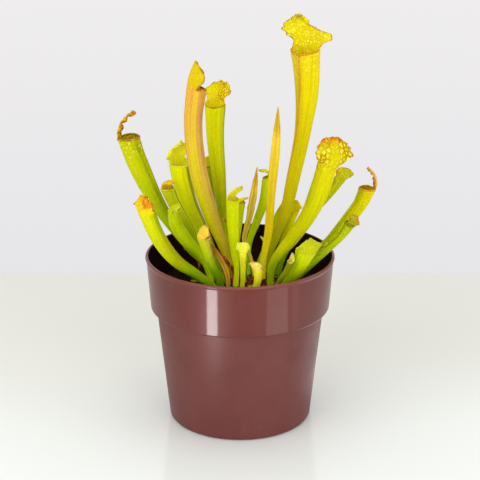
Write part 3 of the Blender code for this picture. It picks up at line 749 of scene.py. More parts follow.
# Painted shade: where the clump's shade lies across X, and how much painted shade falls on a leaf's sides
# turned to it and on its tube's edges
CLUMP_MIDDLE = 5.0
CLUMP_REACH = 18.0
SHADE_WEIGHT = 0.9
EDGE_SHADE_WEIGHT = 0.35
# A leaf's fine form: rows crowd towards the mouth, and bumps and puckers roughen the skin
ROW_CROWDING = 1.25
BUMP_SIZE = 5.0
PUCKER_SIZE = 2.4
ROUGH_DEPTH = 0.10
BEAD_ANGLES = np.radians(np.linspace(-60, 215, 8))
# Millimetres over which the coloured margin fades from the hood's edge and from the mouth's
HOOD_FADE = 1.1
RIM_FADE = 0.9
WING_LINE_POWER = 420
FAN_SPREAD = 3.0
BEAD_MAP_STEPS = (0.6, 0.3)


def rounded_margin(sheet, inner_sheet, normal, loop, into, rim_count, wall, lip, hem):
    """Rows of a bead of nearly round section over the sheets' open edge, from outside to inside.

    Its radius is lip at the mouth and hem on the hood, and its middle stands a little out from
    the edge.
    """
    outward = unit(smooth_loop(unit(sheet[loop] - sheet[into]), 2))
    loop_normal = unit(smooth_loop(normal[loop], 1))
    outward = square_to(outward, loop_normal)
    at_mouth = np.zeros(len(loop))
    at_mouth[2:rim_count - 2] = 1.0
    radius = (hem + (lip - hem) * smooth_loop(at_mouth, 6))[:, None]
    middle = (sheet[loop] + inner_sheet[loop]) / 2
    centre = middle + outward * (0.35 * radius) + loop_normal * (0.45 * (radius - wall / 2))
    return centre + radius * (
        np.cos(BEAD_ANGLES)[:, None, None] * loop_normal + np.sin(BEAD_ANGLES)[:, None, None] * outward)


def make_pitcher(name, slot, face, path, lid, look, seed, sides=12, rows=10, root=3, lid_rows=5, level=0.6,
                 keel=0.1, flare=0.1, fine=6, fine_rows=62, wall=0.5, lip=0.45, hem=0.28, wing=0.35,
                 ribs=11, mouth=(0.5, 0.4)):
    """A hollow trumpet leaf with its hood: an outer sheet, the same sheet set in by the wall's
    thickness, and a rounded bead that joins them round the mouth and the hood's margin.

    The sizes up to flare are the CAD's. fine is how many columns stand for each CAD side, lip and
    hem are the bead's radii at the mouth and on the hood, wing the front wing's height, and mouth
    how far the mouth's edge rises at its sides and dips in front.
    """
    leaf = {"keel": keel, "flare": flare, "wing": wing, "ribs": ribs, "rows": rows, "seed": seed,
            "mouth": mouth}
    columns = sides * fine
    marks = 1 - (1 - np.linspace(0.0, 1.0, fine_rows - 1)) ** ROW_CROWDING
    knots = leaf_knots(path)
    line, along_mm = path_rows(knots, marks)
    *frames, share = leaf_frames(knots, face, level, rows, marks)
    tube, angle = tube_rings(line, frames, columns, leaf, share)
    back_columns = 2 * root * fine + 1
    first_back = columns // 2 - root * fine
    root_angle = root * TAU / sides
    blade, half, v, u = hood_grid(
        line[-1, :3], line[-1, 3] / 2, frames, lid, back_columns, root_angle, lid_rows, seed)
    root_lift = mouth_lift(math.pi - u * root_angle, leaf) * (1 - smoothstep(v, 0.0, 0.4))[:, None]
    blade = blade + frames[0][-1] * root_lift[:, :, None]
    sheet = np.concatenate((tube.reshape(-1, 3), blade.reshape(-1, 3)))
    tube_count, count = fine_rows * columns, len(sheet)

    ti, tj = grid_quads(fine_rows, columns, True)
    tube_quads = ti * columns + tj % columns
    hi, hj = grid_quads(lid["rows"] + 1, back_columns)
    rim = (fine_rows - 1) * columns + first_back + back_columns - 1 - hj
    hood_quads = np.where(hi == 0, rim, tube_count + (hi - 1) * back_columns + hj)[:, ::-1]
    hi, hj = hi[:, ::-1], hj[:, ::-1]
    sheet_quads = np.concatenate((tube_quads, hood_quads))

    on_hood = (np.arange(count) >= tube_count).astype(float)
    near_mouth = np.concatenate((
        np.repeat(smoothstep(share, 0.80, 1.0), columns), np.ones(count - tube_count)))
    bumps = ripples(sheet, BUMP_SIZE, seed) * ROUGH_DEPTH
    pucker = ripples(sheet, PUCKER_SIZE, seed + 50) * ROUGH_DEPTH
    sheet = sheet + point_normals(sheet, sheet_quads) * (
        bumps * near_mouth + pucker * near_mouth * (0.4 + 0.6 * on_hood))[:, None]
    normal = point_normals(sheet, sheet_quads)
    inner_sheet = sheet - normal * wall

    loop, into, rim_count = border_loop(fine_rows, columns, first_back, lid["rows"], back_columns)
    bead = rounded_margin(sheet, inner_sheet, normal, loop, into, rim_count, wall, lip, hem)
    beads, around = bead.shape[:2]
    feet = 2 * count + beads * around
    bead_numbers = np.arange(2 * count, feet).reshape(beads, around)
    strip = np.concatenate((loop[None], bead_numbers, count + loop[None]))
    si, sj = grid_quads(beads + 2, around, True)
    points = np.concatenate((
        sheet, inner_sheet, bead.reshape(-1, 3), line[:1, :3], line[:1, :3] + (0.0, 0.0, wall)))
    this, after = ring_steps(columns)
    faces = [tube_quads, hood_quads, tube_quads[:, ::-1] + count, hood_quads[:, ::-1] + count,
             strip[si, sj % around], fan(feet, after, this), fan(feet + 1, count + this, count + after)]

    mean_radius = line[:, 3] / 2
    turn = np.arange(columns + 1) * TAU / columns - math.pi
    blade_half = np.concatenate(([mean_radius[-1] * root_angle], half))[:, None]
    blade_mm = along_mm[-1] + np.concatenate(([0.0], v))[:, None] * lid["length"]
    round_step, over_step = BEAD_MAP_STEPS
    strip_map = paired(
        np.arange(around + 1) * round_step, along_mm[-1] + np.arange(beads + 2)[:, None] * over_step)
    ends = [strip_map[si, sj]] + 2 * [np.zeros((columns, 3, 2))]
    corner_maps = {}
    for map_name, tube_across, hood_across in (
            ("leaf_mm", turn * mean_radius[:, None], -u * blade_half),
            ("leaf_fan", turn * FAN_SPREAD, -u * FAN_SPREAD * root_angle)):
        sides_map = [paired(tube_across, along_mm[:, None])[ti, tj], paired(hood_across, blade_mm)[hi, hj]]
        corner_maps[map_name] = sides_map + [block[:, ::-1] for block in sides_map] + ends

    length = along_mm[-1] - along_mm[1]
    height = np.concatenate((
        np.repeat((along_mm - along_mm[1]) / length, columns), np.repeat(1 + v, back_columns)))
    from_side = (1 - np.abs(u)) * half[:, None]
    from_tip = ((1 - v) * lid["length"])[:, None]
    hood_margin = np.exp(-np.minimum(from_side, lid["tip_edge"] * from_tip) / HOOD_FADE)
    open_front = smoothstep(np.abs(angle - math.pi), root_angle, root_angle + 0.3)
    rim_margin = np.concatenate(([0.0], np.exp(-((1 - marks) * length) / RIM_FADE)))
    margin = np.concatenate(((rim_margin[:, None] * open_front).ravel(), hood_margin.ravel()))
    none, plain = np.zeros(count), np.zeros(beads * around)
    on_wing = none.copy()
    wing_line = np.maximum(0, np.cos(angle)) ** WING_LINE_POWER
    on_wing[:tube_count] = ((share > 0.25)[:, None] * wing_line).ravel()
    # Painted shade: a point's side turned towards the clump's middle, and the tube's left and right edges,
    # get the Shade colour; the hood gets none
    turned_in = -normal[:, 0] * np.tanh((sheet[:, 0] - CLUMP_MIDDLE) / CLUMP_REACH)
    painted_shade = SHADE_WEIGHT * smoothstep(turned_in, 0.15, 1.0)
    painted_shade = painted_shade + EDGE_SHADE_WEIGHT * smoothstep(np.abs(normal[:, 0]), 0.72, 1.0)
    painted_shade = np.clip(painted_shade, 0, 1) * (1 - on_hood)
    loop_height = np.where(np.arange(around) < rim_count, 1.0, 1.3)
    inside_ramp = np.repeat(np.linspace(0.0, 0.6, beads), around)
    values = {key: np.concatenate(blocks) for key, blocks in {
        "height": (height, height, np.tile(loop_height, beads), (0.0, 0.0)),
        "margin": (margin, margin, plain + 1, (0.0, 0.0)),
        "inside": (none, none + 1, inside_ramp, (0.0, 1.0)),
        "wing": (on_wing, none, plain, (0.0, 0.0)),
        "painted_shade": (painted_shade, none, plain, (0.0, 0.0))}.items()}
    skin = leaf_material(name, look)
    return new_piece(name + "_leaf", points, faces, skin, slot, (name,), corner_maps, values)


def make_slender(name, slot, path, skin, seed, face=0.0, flat=0.5, fold=0.0, foot_top=None, columns=28,
                 rows=70, wrinkle=0.0):
    """A slender closed leaf: an oval section carried along the path, flattened away from its foot.

    The section's half sizes are half the path's width across and flat times that through, and
    fold pulls its front in along the middle, as on a leaf folded lengthwise.
    """
    marks = np.linspace(0.0, 1.0, rows - 1)
    line, along_mm = path_rows(leaf_knots(path, foot_top), marks)
    along = directions(line[:, :3])
    turn = math.radians(face)
    front = square_to(np.array([math.sin(turn), -math.cos(turn), 0.0]) + 0 * along, along)
    side = np.cross(along, front)
    share = np.concatenate(([0.0], marks))
    flatten = 1 - (1 - flat) * smoothstep(share, 0.02, 0.3)
    angle = np.arange(columns) * TAU / columns
    half = np.maximum(line[:, 3] / 2, 0.12)[:, None]
    across = half * np.sin(angle)
    through = half * flatten[:, None] * np.cos(angle)
    crease = fold * half * smoothstep(share, 0.1, 0.35)[:, None] * np.exp(-(across / (0.3 * half)) ** 2)
    in_front = np.cos(angle) > 0
    through = through - crease * in_front
    points = line[:, None, :3] + side[:, None] * across[..., None] + front[:, None] * through[..., None]
    if wrinkle:
        points = points + drift(points, 6.0, seed) * (
            wrinkle * smoothstep(share, 0.15, 0.5))[:, None, None]
    faces, i, j = capped_tube(rows, columns)
    points = np.concatenate((points.reshape(-1, 3), line[:1, :3], points[-1:].mean(1) + along[-1] * 0.2))
    turn_map = np.arange(columns + 1) * TAU / columns - math.pi
    ends = 2 * [np.zeros((columns, 3, 2))]
    corner_maps = {
        "leaf_mm": [paired(turn_map * half, along_mm[:, None])[i, j]] + ends,
        "leaf_fan": [paired(turn_map * FAN_SPREAD, along_mm[:, None])[i, j]] + ends}
    height = np.repeat((along_mm - along_mm[1]) / (along_mm[-1] - along_mm[1]), columns)
    height = height + 0.25 * smoothstep(height, 0.72, 0.9)
    margin = np.tile(np.abs(np.sin(angle)) ** 10 * 0.8, rows)
    middle = np.tile(in_front * np.exp(-(np.sin(angle) / 0.16) ** 2), rows)
    values = {
        "height": np.concatenate((height, (0.0, 1.0))), "margin": np.concatenate((margin, (0.0, 1.0))),
        "inside": np.zeros(len(points)), "wing": np.concatenate((middle, (0.0, 0.0)))}
    return new_piece(name + "_leaf", points, faces, skin, slot, (name,), corner_maps, values)


def look_of(**changes):
    """A living leaf's colours as seen on a screen, 0 to 255, and its amounts, mostly 0 to 1; shade is the
    colour of its painted shade.
    """
    return {
        "shade": (140, 152, 2), "foot": (126, 156, 2), "lower": (164, 186, 2), "upper": (212, 212, 6),
        "hood": (226, 216, 12), "inner": (190, 184, 12), "lip": (150, 124, 18),
        "margin": (216, 146, 40), "stripe": (176, 176, 4), "net": (168, 120, 16),
        "window": (246, 240, 112), "blush": (228, 204, 26), "veins": 0.2, "start": 0.9, "mesh": 1.0,
        "half": 0.0, "middle": 0.0, "panes": 0.2, "rim": 0.6, "patches": 0.2, "streaks": 0.3,
        "stripes": 0.15, "seam": 0.4, **changes}


GREEN, LIME, YELLOW = "leaf_green", "leaf_lime", "leaf_yellow"
AMBER, PALE, BROWN = "leaf_amber", "leaf_pale", "leaf_brown"

# A row of the tables below: the node's name, its slot, the way that the leaf faces at its foot
# and at its mouth in degrees, its path, its hood, its look, and the sizes that it has to itself.
# A path starts with the foot's x, y and width and goes on in x, y, z and width.
MIDDLE_SIZES = {"sides": 10, "rows": 9, "root": 2, "lid_rows": 4}
SMALL_SIZES = {
    "sides": 8, "rows": 7, "root": 2, "lid_rows": 3, "keel": 0.0, "fine_rows": 36, "wing": 0.15,
    "wall": 0.4, "lip": 0.38, "hem": 0.26, "ribs": 7}
# The ten long leaves, from the far left round to the front right
LARGE_PITCHERS = (
    ("pitcher_far_left", GREEN, (60, 75),
     [(-17, 9, 4.2), (-35, 10, 119, 5.6), (-58, 13, 153, 10.6), (-70, 14, 179, 13.6), (-77, 14, 198, 13.6)],
     hood(25, (-8, 68), (3.6, 3, 2.6, 2.4), wrap=100, lobes=2.7, scallop=1.3, frill=0.9, dome=0.02),
     look_of(shade=(108, 134, 2), foot=(115, 152, 2), lower=(158, 186, 0), upper=(204, 206, 2),
         hood=(222, 168, 50), inner=(176, 152, 20), lip=(160, 108, 34), margin=(210, 120, 30),
         net=(140, 148, 2), window=(240, 238, 84), start=0.86, mesh=0.62, panes=0.6, veins=0.35, rim=0.95,
         patches=0.15),
     {"root": 1, "flare": 0.2, "lip": 0.7, "hem": 0.45, "fine": 8}),
    ("pitcher_low_left", GREEN, (110, 150),
     [(-15, -21, 4.5), (-27, -28, 112, 5.6), (-41.2, -35, 125, 7.8), (-53.4, -44, 145, 10),
      (-60.7, -50, 164.8, 11)],
     hood(15, (-14, 40), (8.4, 8.8, 7, 4.2), (8.2, 7.8, 6.4, 4), ruffle=0.8, lobes=3.5, scallop=0.6,
         frill=0.6, tip_edge=0.16),
     look_of(shade=(146, 164, 2), foot=(118, 165, 0), lower=(154, 188, 0), upper=(222, 222, 4),
         hood=(236, 226, 16), inner=(240, 220, 20), lip=(206, 120, 40), margin=(196, 76, 34),
         net=(214, 106, 36), blush=(220, 112, 36), patches=0.28, veins=0.95, half=-0.85, rim=1.0,
         window=(204, 84, 36), start=1.34, mesh=0.7, panes=0.95),
     {}),
    ("pitcher_left_hooded", LIME, (40, 40),
     [(-14, 15, 4), (-22.4, 17, 120, 8.2), (-36.2, 22, 150, 12), (-40.8, 25, 166, 13.4),
      (-42.5, 25, 176, 13.5)],
     hood(18, (-5, 50), (9, 11, 12, 8.5), (9.5, 12.5, 9, 0), wrap=50, ruffle=1.4, waves=4, scallop=0.4,
         frill=0.5),
     look_of(shade=(156, 168, 2), foot=(134, 185, 2), lower=(194, 210, 4), upper=(255, 255, 4),
         hood=(250, 246, 30), inner=(255, 252, 50), lip=(246, 244, 110), margin=(240, 216, 70),
         patches=0.1, panes=0.1),
     {}),
    ("pitcher_amber", AMBER, (80, 92),
     [(-4, 6, 4.2), (-12.4, 7, 123, 6.3), (-20.4, 9, 144, 9.4), (-29.9, 11, 180, 11.6),
      (-32.2, 12, 213, 11.8), (-30, 12, 233, 12.5)],
     hood(20, (1, 24), (13, 15, 12.5, 5), wrap=118, lobes=2.5, scallop=0.3, frill=0.25),
     look_of(shade=(196, 138, 82), foot=(176, 160, 10), lower=(228, 218, 8), upper=(246, 198, 56),
         hood=(216, 194, 8), inner=(232, 186, 30), lip=(176, 96, 44), margin=(206, 112, 50),
         stripe=(216, 128, 76), net=(214, 150, 30), blush=(240, 200, 40), stripes=0.5, streaks=0.15,
         rim=0.8, veins=0.15, mesh=0.8, panes=0.06, patches=0.25, seam=0.3),
     {"flare": 0.06}),
    ("pitcher_green_frilled", GREEN, (10, -5),
     [(-2, 22, 4.2), (-10, 28, 125, 5), (-15.3, 36, 168, 10.6), (-17.4, 42, 191, 12.2),
      (-17.4, 45, 213, 13.8)],
     hood(17, (0, 22), (7.2, 11, 10.8, 8.5), (6.5, 8, 7, 1), wrap=26, ruffle=1.1, waves=3.5, spread=2.5,
         lobes=4, scallop=0.6, frill=0.5, tip_edge=0.3),
     look_of(shade=(140, 150, 2), foot=(115, 160, 2), lower=(178, 190, 0), upper=(238, 238, 4),
         hood=(206, 186, 8), inner=(252, 240, 30), lip=(140, 104, 14), margin=(216, 120, 24),
         net=(186, 112, 10), window=(252, 240, 70), blush=(236, 190, 24), veins=0.9, mesh=0.85, half=0.85,
         panes=0.35, start=1.0, rim=0.9, patches=0.3, seam=0.1),
     {}),
    # Painted shade: this leaf's foot colour is darkened for the shadow in the gap beside it
    ("pitcher_tall", YELLOW, (-80, -25),
     [(17, 12, 4.6), (24.6, 17, 124, 6), (30, 21, 136, 7.4), (37.1, 28, 165, 9.5), (44.3, 35, 202, 12.1),
      (46.3, 39, 224, 15.9), (45.3, 42, 252, 19.4)],
     hood(23.4, (-8, 10), (13.4, 17, 13, 4, -0.8, -5.8), (12.1, 16.6, 20.6, 20.4, 17.4, 11.2), wrap=16,
         ruffle=1.3, waves=3.5, spread=3.5, lobes=4.5, scallop=1.3, frill=0.7, dome=0.03, rows=40,
         tip_edge=0.35),
     look_of(shade=(206, 180, 6), foot=(156, 156, 6), lower=(220, 206, 4), upper=(246, 220, 10),
         hood=(212, 202, 4), inner=(232, 218, 10), lip=(206, 128, 44), margin=(208, 126, 60),
         net=(200, 178, 4), stripe=(206, 168, 8), stripes=0.35, window=(250, 240, 90),
         blush=(226, 200, 10), veins=0.35, start=0.86, mesh=0.78, panes=0.8, rim=0.95, patches=0.25,
         seam=1.0),
     {"rows": 11, "lid_rows": 6, "mouth": (1.7, 0.9), "fine": 9, "fine_rows": 74, "wing": 0.6}),
    ("pitcher_netted", LIME, (-130, -160),
     [(21, -8, 4.6), (21.6, -11, 113, 5.5), (36, -17, 137, 9.2), (46.6, -22, 156, 11),
      (53.1, -26, 174, 13), (57.4, -29, 190, 13)],
     hood(23.5, (-6, 10), (9.6, 10.8, 10.8, 6.4), (14.6, 15, 12, 4.8), wrap=22, ruffle=1.2, waves=4.5,
         spread=2.5, lobes=4.5, scallop=0.8, frill=0.6, dome=0.05, rows=36, tip_edge=0.11),
     look_of(shade=(172, 180, 0), foot=(150, 180, 4), lower=(194, 206, 0), upper=(220, 218, 0),
         hood=(208, 208, 2), inner=(206, 196, 10), lip=(170, 100, 24), margin=(226, 124, 24),
         net=(166, 116, 8), window=(255, 234, 96), blush=(230, 200, 14), veins=0.85, mesh=0.5,
         stripe=(206, 156, 10), stripes=0.4, middle=0.75, start=1.0, panes=0.85, rim=0.95, patches=0.3),
     {"fine": 9}),
    ("pitcher_far_right", LIME, (-80, -80),
     [(30, 4, 4), (63.2, 3, 128, 7.6), (76.3, 3, 145, 9), (82.7, 3, 154.5, 9.4), (87.5, 3, 165, 10.4)],
     hood(18.5, (-25, 62), (4, 3, 2.6, 2.2), wrap=100, scallop=0.9, frill=0.5, dome=0.02),
     look_of(shade=(138, 158, 2), foot=(128, 166, 2), lower=(158, 186, 2), upper=(220, 206, 4),
         hood=(232, 184, 96), inner=(186, 140, 26), lip=(190, 124, 30), margin=(214, 140, 70),
         blush=(206, 160, 18), rim=0.95, patches=0.22, veins=0.05, panes=0.05),
     {"root": 1, "flare": 0.14, "lip": 0.6, "hem": 0.38, "fine": 8}),
    ("pitcher_low_right", GREEN, (-60, -50),
     [(29, -8, 4), (39.6, -13, 107, 4.5), (55.4, -17, 125, 5.5), (69.6, -20, 140.3, 5.5),
      (74, -21, 147.6, 7)],
     hood(8, (-15, 35), (6, 6.5, 4), (4, 4, 3), wrap=50, ruffle=0.5, lobes=2.5, rows=20),
     look_of(foot=(120, 166, 0), lower=(156, 184, 2), upper=(180, 192, 12), hood=(214, 150, 30),
         inner=(184, 196, 44), lip=(92, 84, 8), margin=(206, 90, 34), net=(116, 96, 12), rim=0.7, seam=0.5),
     {"sides": 10, "root": 2, "lid_rows": 4, "level": 0.2, "lip": 0.5, "fine_rows": 52}),
    ("pitcher_front_right", LIME, (-150, -150),
     [(22, -20, 4.6), (33.4, -26, 110, 8), (37, -30, 117, 10), (40.8, -36, 127, 11.5),
      (43.7, -40, 134, 12.5)],
     hood(13.5, (-5, 25), (9.8, 10.4, 8.6, 3.5), (10.5, 12.5, 8, 2), wrap=40, ruffle=0.8, scallop=0.6,
         rows=24),
     look_of(shade=(164, 188, 2), foot=(170, 214, 0), lower=(152, 188, 0), upper=(200, 216, 4),
         hood=(180, 190, 6), inner=(204, 216, 10), lip=(206, 206, 24), margin=(236, 220, 60), rim=0.5,
         panes=0.12, mesh=0.8, start=0.85, patches=0.1),
     {"rows": 9, "lid_rows": 4, "fine_rows": 48}))
# Five leaves of middle size
MIDDLE_PITCHERS = (
    ("pitcher_left_rear", GREEN, (60, 50),
     [(-12, 1, 3.8), (-26, 1, 118, 5), (-38, 1, 142, 7.4), (-46, 1, 157, 8.6), (-49.7, 1, 165.8, 9)],
     hood(15, (-6, 112), (4.2, 4.2, 3.2), wrap=50, rows=24),
     look_of(foot=(120, 160, 2), lower=(140, 164, 2), upper=(180, 190, 6), hood=(220, 186, 24),
         inner=(250, 216, 50), lip=(222, 216, 70), margin=(228, 130, 36), rim=0.85, patches=0.3),
     {"fine_rows": 48}),
    ("pitcher_left_mid", GREEN, (90, 100),
     [(-20, -8, 4), (-25, -12, 119, 5), (-38, -16, 136, 8), (-44, -17, 147, 8), (-45, -17, 156, 7.5)],
     hood(10, (15, 95), (5.5, 5.5, 4), wrap=60, ruffle=0.3, lobes=2.5, rows=22),
     look_of(shade=(156, 178, 0), foot=(184, 220, 0), lower=(164, 198, 0), upper=(200, 216, 6),
         hood=(190, 206, 4), inner=(190, 202, 20), lip=(220, 228, 50), margin=(224, 230, 50), rim=0.8,
         patches=0.1, panes=0.3),
     {"fine_rows": 48}),
    ("pitcher_centre", LIME, (60, 50),
     [(-3, -14, 4), (-2.5, -17, 115, 3.6), (-3.6, -18, 126, 5.6), (-4.7, -18, 143, 7.5),
      (-5, -18, 164, 8.7)],
     hood(13.8, (4, 64), (5.4, 7.8, 8.6, 6.5), (5.5, 5, 3, 0), wrap=35, lobes=2.5, scallop=0.35, rows=28),
     look_of(shade=(190, 200, 4), foot=(226, 230, 8), lower=(204, 218, 4), upper=(208, 218, 2),
         hood=(246, 236, 40), inner=(240, 232, 50), lip=(206, 212, 16), margin=(246, 226, 100),
         patches=0.1),
     {"fine_rows": 52}),
    ("pitcher_slim_rear", GREEN, (-80, -80),
     [(6, 14, 3.4), (7, 19, 122, 4), (12, 22, 135, 5), (16, 24, 146, 5.6), (19.3, 27, 165.5, 5.8)],
     hood(13, (-14, 105), (3.2, 3.2, 2.4), wrap=50, rows=20),
     look_of(shade=(146, 172, 2), foot=(160, 200, 4), lower=(180, 212, 2), upper=(214, 236, 8),
         hood=(222, 212, 26), lip=(150, 140, 16), margin=(216, 170, 44)),
     {"fine_rows": 44}),
    # Painted shade: this leaf's foot and lower tube are darkened for the shade it stands in among the other
    # leaves
    ("pitcher_small_left", YELLOW, (120, 120),
     [(-11, -28, 4), (-14.2, -32, 111, 4.4), (-16.7, -34, 119, 5.2), (-20.2, -36, 128, 6.2),
      (-24.4, -38, 143, 8)],
     hood(12.5, (-8, 70), (7, 7, 4.4), wrap=50, ruffle=0.5, scallop=0.35, rows=24),
     look_of(shade=(92, 112, 2), foot=(84, 108, 2), lower=(96, 140, 0), upper=(180, 201, 2),
         hood=(244, 196, 62), inner=(250, 218, 104), lip=(222, 150, 60), margin=(228, 122, 56),
         blush=(242, 178, 92), rim=0.85, patches=0.5),
     {"fine_rows": 44}))
# Ten young or stunted pitchers
SMALL_PITCHERS = (
    ("pitcher_small_rear", GREEN, (0, 0),
     [(-9, 21, 3.4), (-16, 32, 130, 4), (-20, 39, 145, 5), (-23, 45, 169, 6.5)],
     hood(9, (10, 55), (4.8, 4.6, 3), ruffle=0.3, rows=18),
     look_of(lower=(168, 172, 6), upper=(206, 204, 8), hood=(250, 250, 6), inner=(255, 255, 12),
         lip=(150, 130, 12), margin=(190, 160, 18), rim=0.8),
     {}),
    ("pitcher_centre_rear", GREEN, (80, 80),
     [(3, -5, 3.2), (-2, -2, 129, 4), (-1, 0, 142, 5.4), (0, 0, 156.3, 6.2)],
     hood(9.5, (25, 84), (3.6, 3.4, 2), rows=18),
     look_of(lower=(160, 174, 4), upper=(200, 210, 8), hood=(234, 228, 14), inner=(236, 226, 30),
         margin=(222, 150, 40), rim=0.8),
     {}),
    ("pitcher_netted_rear", GREEN, (-150, -170),
     [(27, 14, 3.4), (51.3, 17, 143, 4.2), (62.9, 19, 157.5, 5.8), (69, 19, 166.6, 7.6)],
     hood(9.8, (-8, 12), (4.5, 5, 3.5), (7, 8.6, 5.4), wrap=30, ruffle=0.4, rows=22),
     look_of(shade=(116, 136, 0), foot=(116, 156, 0), lower=(134, 160, 0), upper=(192, 198, 2),
         hood=(186, 188, 2), inner=(206, 204, 4), lip=(110, 108, 6), margin=(222, 144, 36), rim=1.0,
         veins=0.3),
     {}),
    ("pitcher_tiny_rim", BROWN, (-120, -120),
     [(33, -2, 3), (50, -4, 115, 3.5), (55.5, -6, 121.5, 4.4), (58, -7, 125.5, 5)],
     hood(5.5, (0, 45), (3.4, 3.4, 2.2), rows=14),
     look_of(foot=(132, 102, 20), lower=(150, 140, 20), upper=(186, 170, 26), hood=(210, 184, 44),
         inner=(150, 120, 26), lip=(140, 90, 30), margin=(200, 130, 50), panes=0.1),
     {}),
    # Painted shade: the dark green of this stalk's foot, lower and upper colours is shadow from the leaves
    # round it
    ("pitcher_beaked", LIME, (-60, -60),
     [(20, -26, 3.2), (27, -33, 112, 3.5), (31, -39, 121, 3.8), (34, -43, 129, 4.5)],
     hood(7, (-5, 30), (3, 2.2, 0.8), rows=18),
     look_of(shade=(80, 96, 2), foot=(90, 110, 2), lower=(104, 124, 4), upper=(110, 128, 10),
         hood=(252, 248, 84), inner=(226, 216, 90), lip=(226, 214, 90), margin=(240, 210, 120)),
     {}),
    ("pitcher_yellow_rear", YELLOW, (-45, -45),
     [(24, 19, 3.2), (29, 26, 116, 4), (33.6, 28, 128, 5.4), (38, 29, 139.8, 7)],
     hood(10, (-5, 40), (5.6, 7.5, 5.5), (4.8, 5, 3), ruffle=0.3, rows=18),
     look_of(lower=(196, 196, 6), upper=(236, 222, 10), hood=(255, 238, 24), inner=(255, 240, 40),
         lip=(206, 170, 14), margin=(244, 190, 50)),
     {}),
    ("pitcher_pale_front", PALE, (180, 180),
     [(1, -22, 3.2), (2, -26, 111, 3.5), (2, -28, 121, 4), (2, -30, 128, 5)],
     hood(10.5, (5, 15), (3.2, 4.8, 4), wrap=35, ruffle=0.3, lobes=2.5, rows=20),
     look_of(shade=(226, 226, 20), foot=(240, 246, 10), lower=(232, 236, 16), upper=(236, 232, 44),
         hood=(238, 232, 60), inner=(246, 238, 80), lip=(230, 226, 70), margin=(252, 244, 140), rim=0.5,
         patches=0.1, panes=0.0),
     {}),
    ("pitcher_stub_front", PALE, (150, 150),
     [(8, -29, 4.2), (11, -33, 107.5, 4.5), (12, -36, 114, 5.5), (12, -37, 120.5, 6.5)],
     hood(7, (-15, 10), (5.6, 6.4, 4.4), (4, 4.4, 3.6), ruffle=0.6, scallop=0.4, frill=0.4, rows=18),
     look_of(shade=(240, 236, 10), foot=(240, 246, 6), lower=(240, 244, 4), upper=(250, 238, 40),
         hood=(255, 226, 96), inner=(255, 220, 110), lip=(150, 60, 40), margin=(240, 150, 110),
         blush=(252, 184, 84), rim=0.85, patches=0.4, panes=0.0),
     {}),
    ("pitcher_pale_tip", PALE, (-90, -90),
     [(11, 11, 2.8), (14, 12, 110, 3), (17, 13, 117.5, 3.2), (18, 13, 122, 3.8)],
     hood(7.5, (25, 65), (3.0, 2.8, 1.2), rows=16),
     look_of(upper=(230, 222, 60), hood=(250, 244, 110), inner=(244, 238, 96)),
     {}),
    ("pitcher_tiny_rear", LIME, (80, 80),
     [(-6, 13, 2.8), (-7, 17, 116, 3), (-10, 19, 125, 3.2), (-11, 19, 136, 3.8)],
     hood(5, (0, 60), (2.6, 2, 1), rows=14),
     look_of(upper=(200, 208, 14), hood=(214, 210, 22)),
     {}))
# Leaves without a pitcher, and a cut stalk: rows as above, less the way they face and the hood
SLENDER_LEAVES = (
    ("leaf_spear", YELLOW,
     [(16, 1, 3.6), (16.5, 1, 117, 4.6), (18.7, 2, 128, 5.3), (21.4, 5, 162, 6.0), (24, 6, 190, 6.3),
      (24.9, 6, 203, 5.4), (25.7, 6, 222, 0.7)],
     look_of(foot=(216, 204, 16), lower=(222, 198, 14), upper=(252, 222, 66), hood=(196, 170, 20),
         stripe=(200, 146, 36), lip=(190, 150, 30), margin=(190, 140, 40), panes=0.0, stripes=0.3,
         seam=0.2),
     {"face": -10, "flat": 0.55, "fold": 0.2, "rows": 90}),
    ("leaf_slender_brown", BROWN,
     [(10, 5, 3.2), (8, 8, 111, 2.6), (3, 12, 125, 3.6), (6, 15, 138, 4.6), (9.8, 18, 159, 4.9),
      (11.9, 19, 176, 0.6)],
     look_of(foot=(192, 178, 40), lower=(206, 182, 56), upper=(244, 212, 64), hood=(206, 166, 34),
         stripe=(150, 92, 30), lip=(128, 76, 28), margin=(130, 80, 30), panes=0.0, rim=0.9, streaks=0.4,
         stripes=0.5, seam=0.3),
     {"face": 20, "flat": 0.55, "fold": 0.25, "wrinkle": 0.25}),
    ("leaf_slender_green", GREEN,
     [(13, 22, 3), (18, 25, 113, 3), (22, 27, 125, 3.5), (26, 30, 137, 3.4), (31, 31, 148, 0.6)],
     look_of(foot=(180, 224, 4), lower=(196, 214, 6), upper=(210, 220, 12), panes=0.0, seam=0.3),
     {"face": -20, "fold": 0.3}),
    ("leaf_strip_green", LIME,
     [(-8, -13, 2.8), (-9, -14, 110, 3.6), (-12.2, -14, 118, 3.6), (-16, -14, 125, 2.8),
      (-19.2, -14, 131.5, 0.6)],
     look_of(foot=(200, 150, 50), lower=(214, 164, 54), upper=(150, 110, 24), hood=(150, 110, 24),
         stripe=(150, 62, 22), lip=(120, 44, 18), margin=(140, 62, 22), panes=0.0, rim=0.9, stripes=0.7,
         seam=0.5),
     {"face": 10, "flat": 0.45, "fold": 0.3}),
    ("cut_stub_green", LIME,
     [(16, -29, 3), (19, -31, 100, 3.2), (23, -33, 103, 3.2)],
     look_of(foot=(204, 216, 30), lower=(206, 208, 40), upper=(226, 220, 70), panes=0.0, seam=0.1),
     {"flat": 0.8, "rows": 30}))
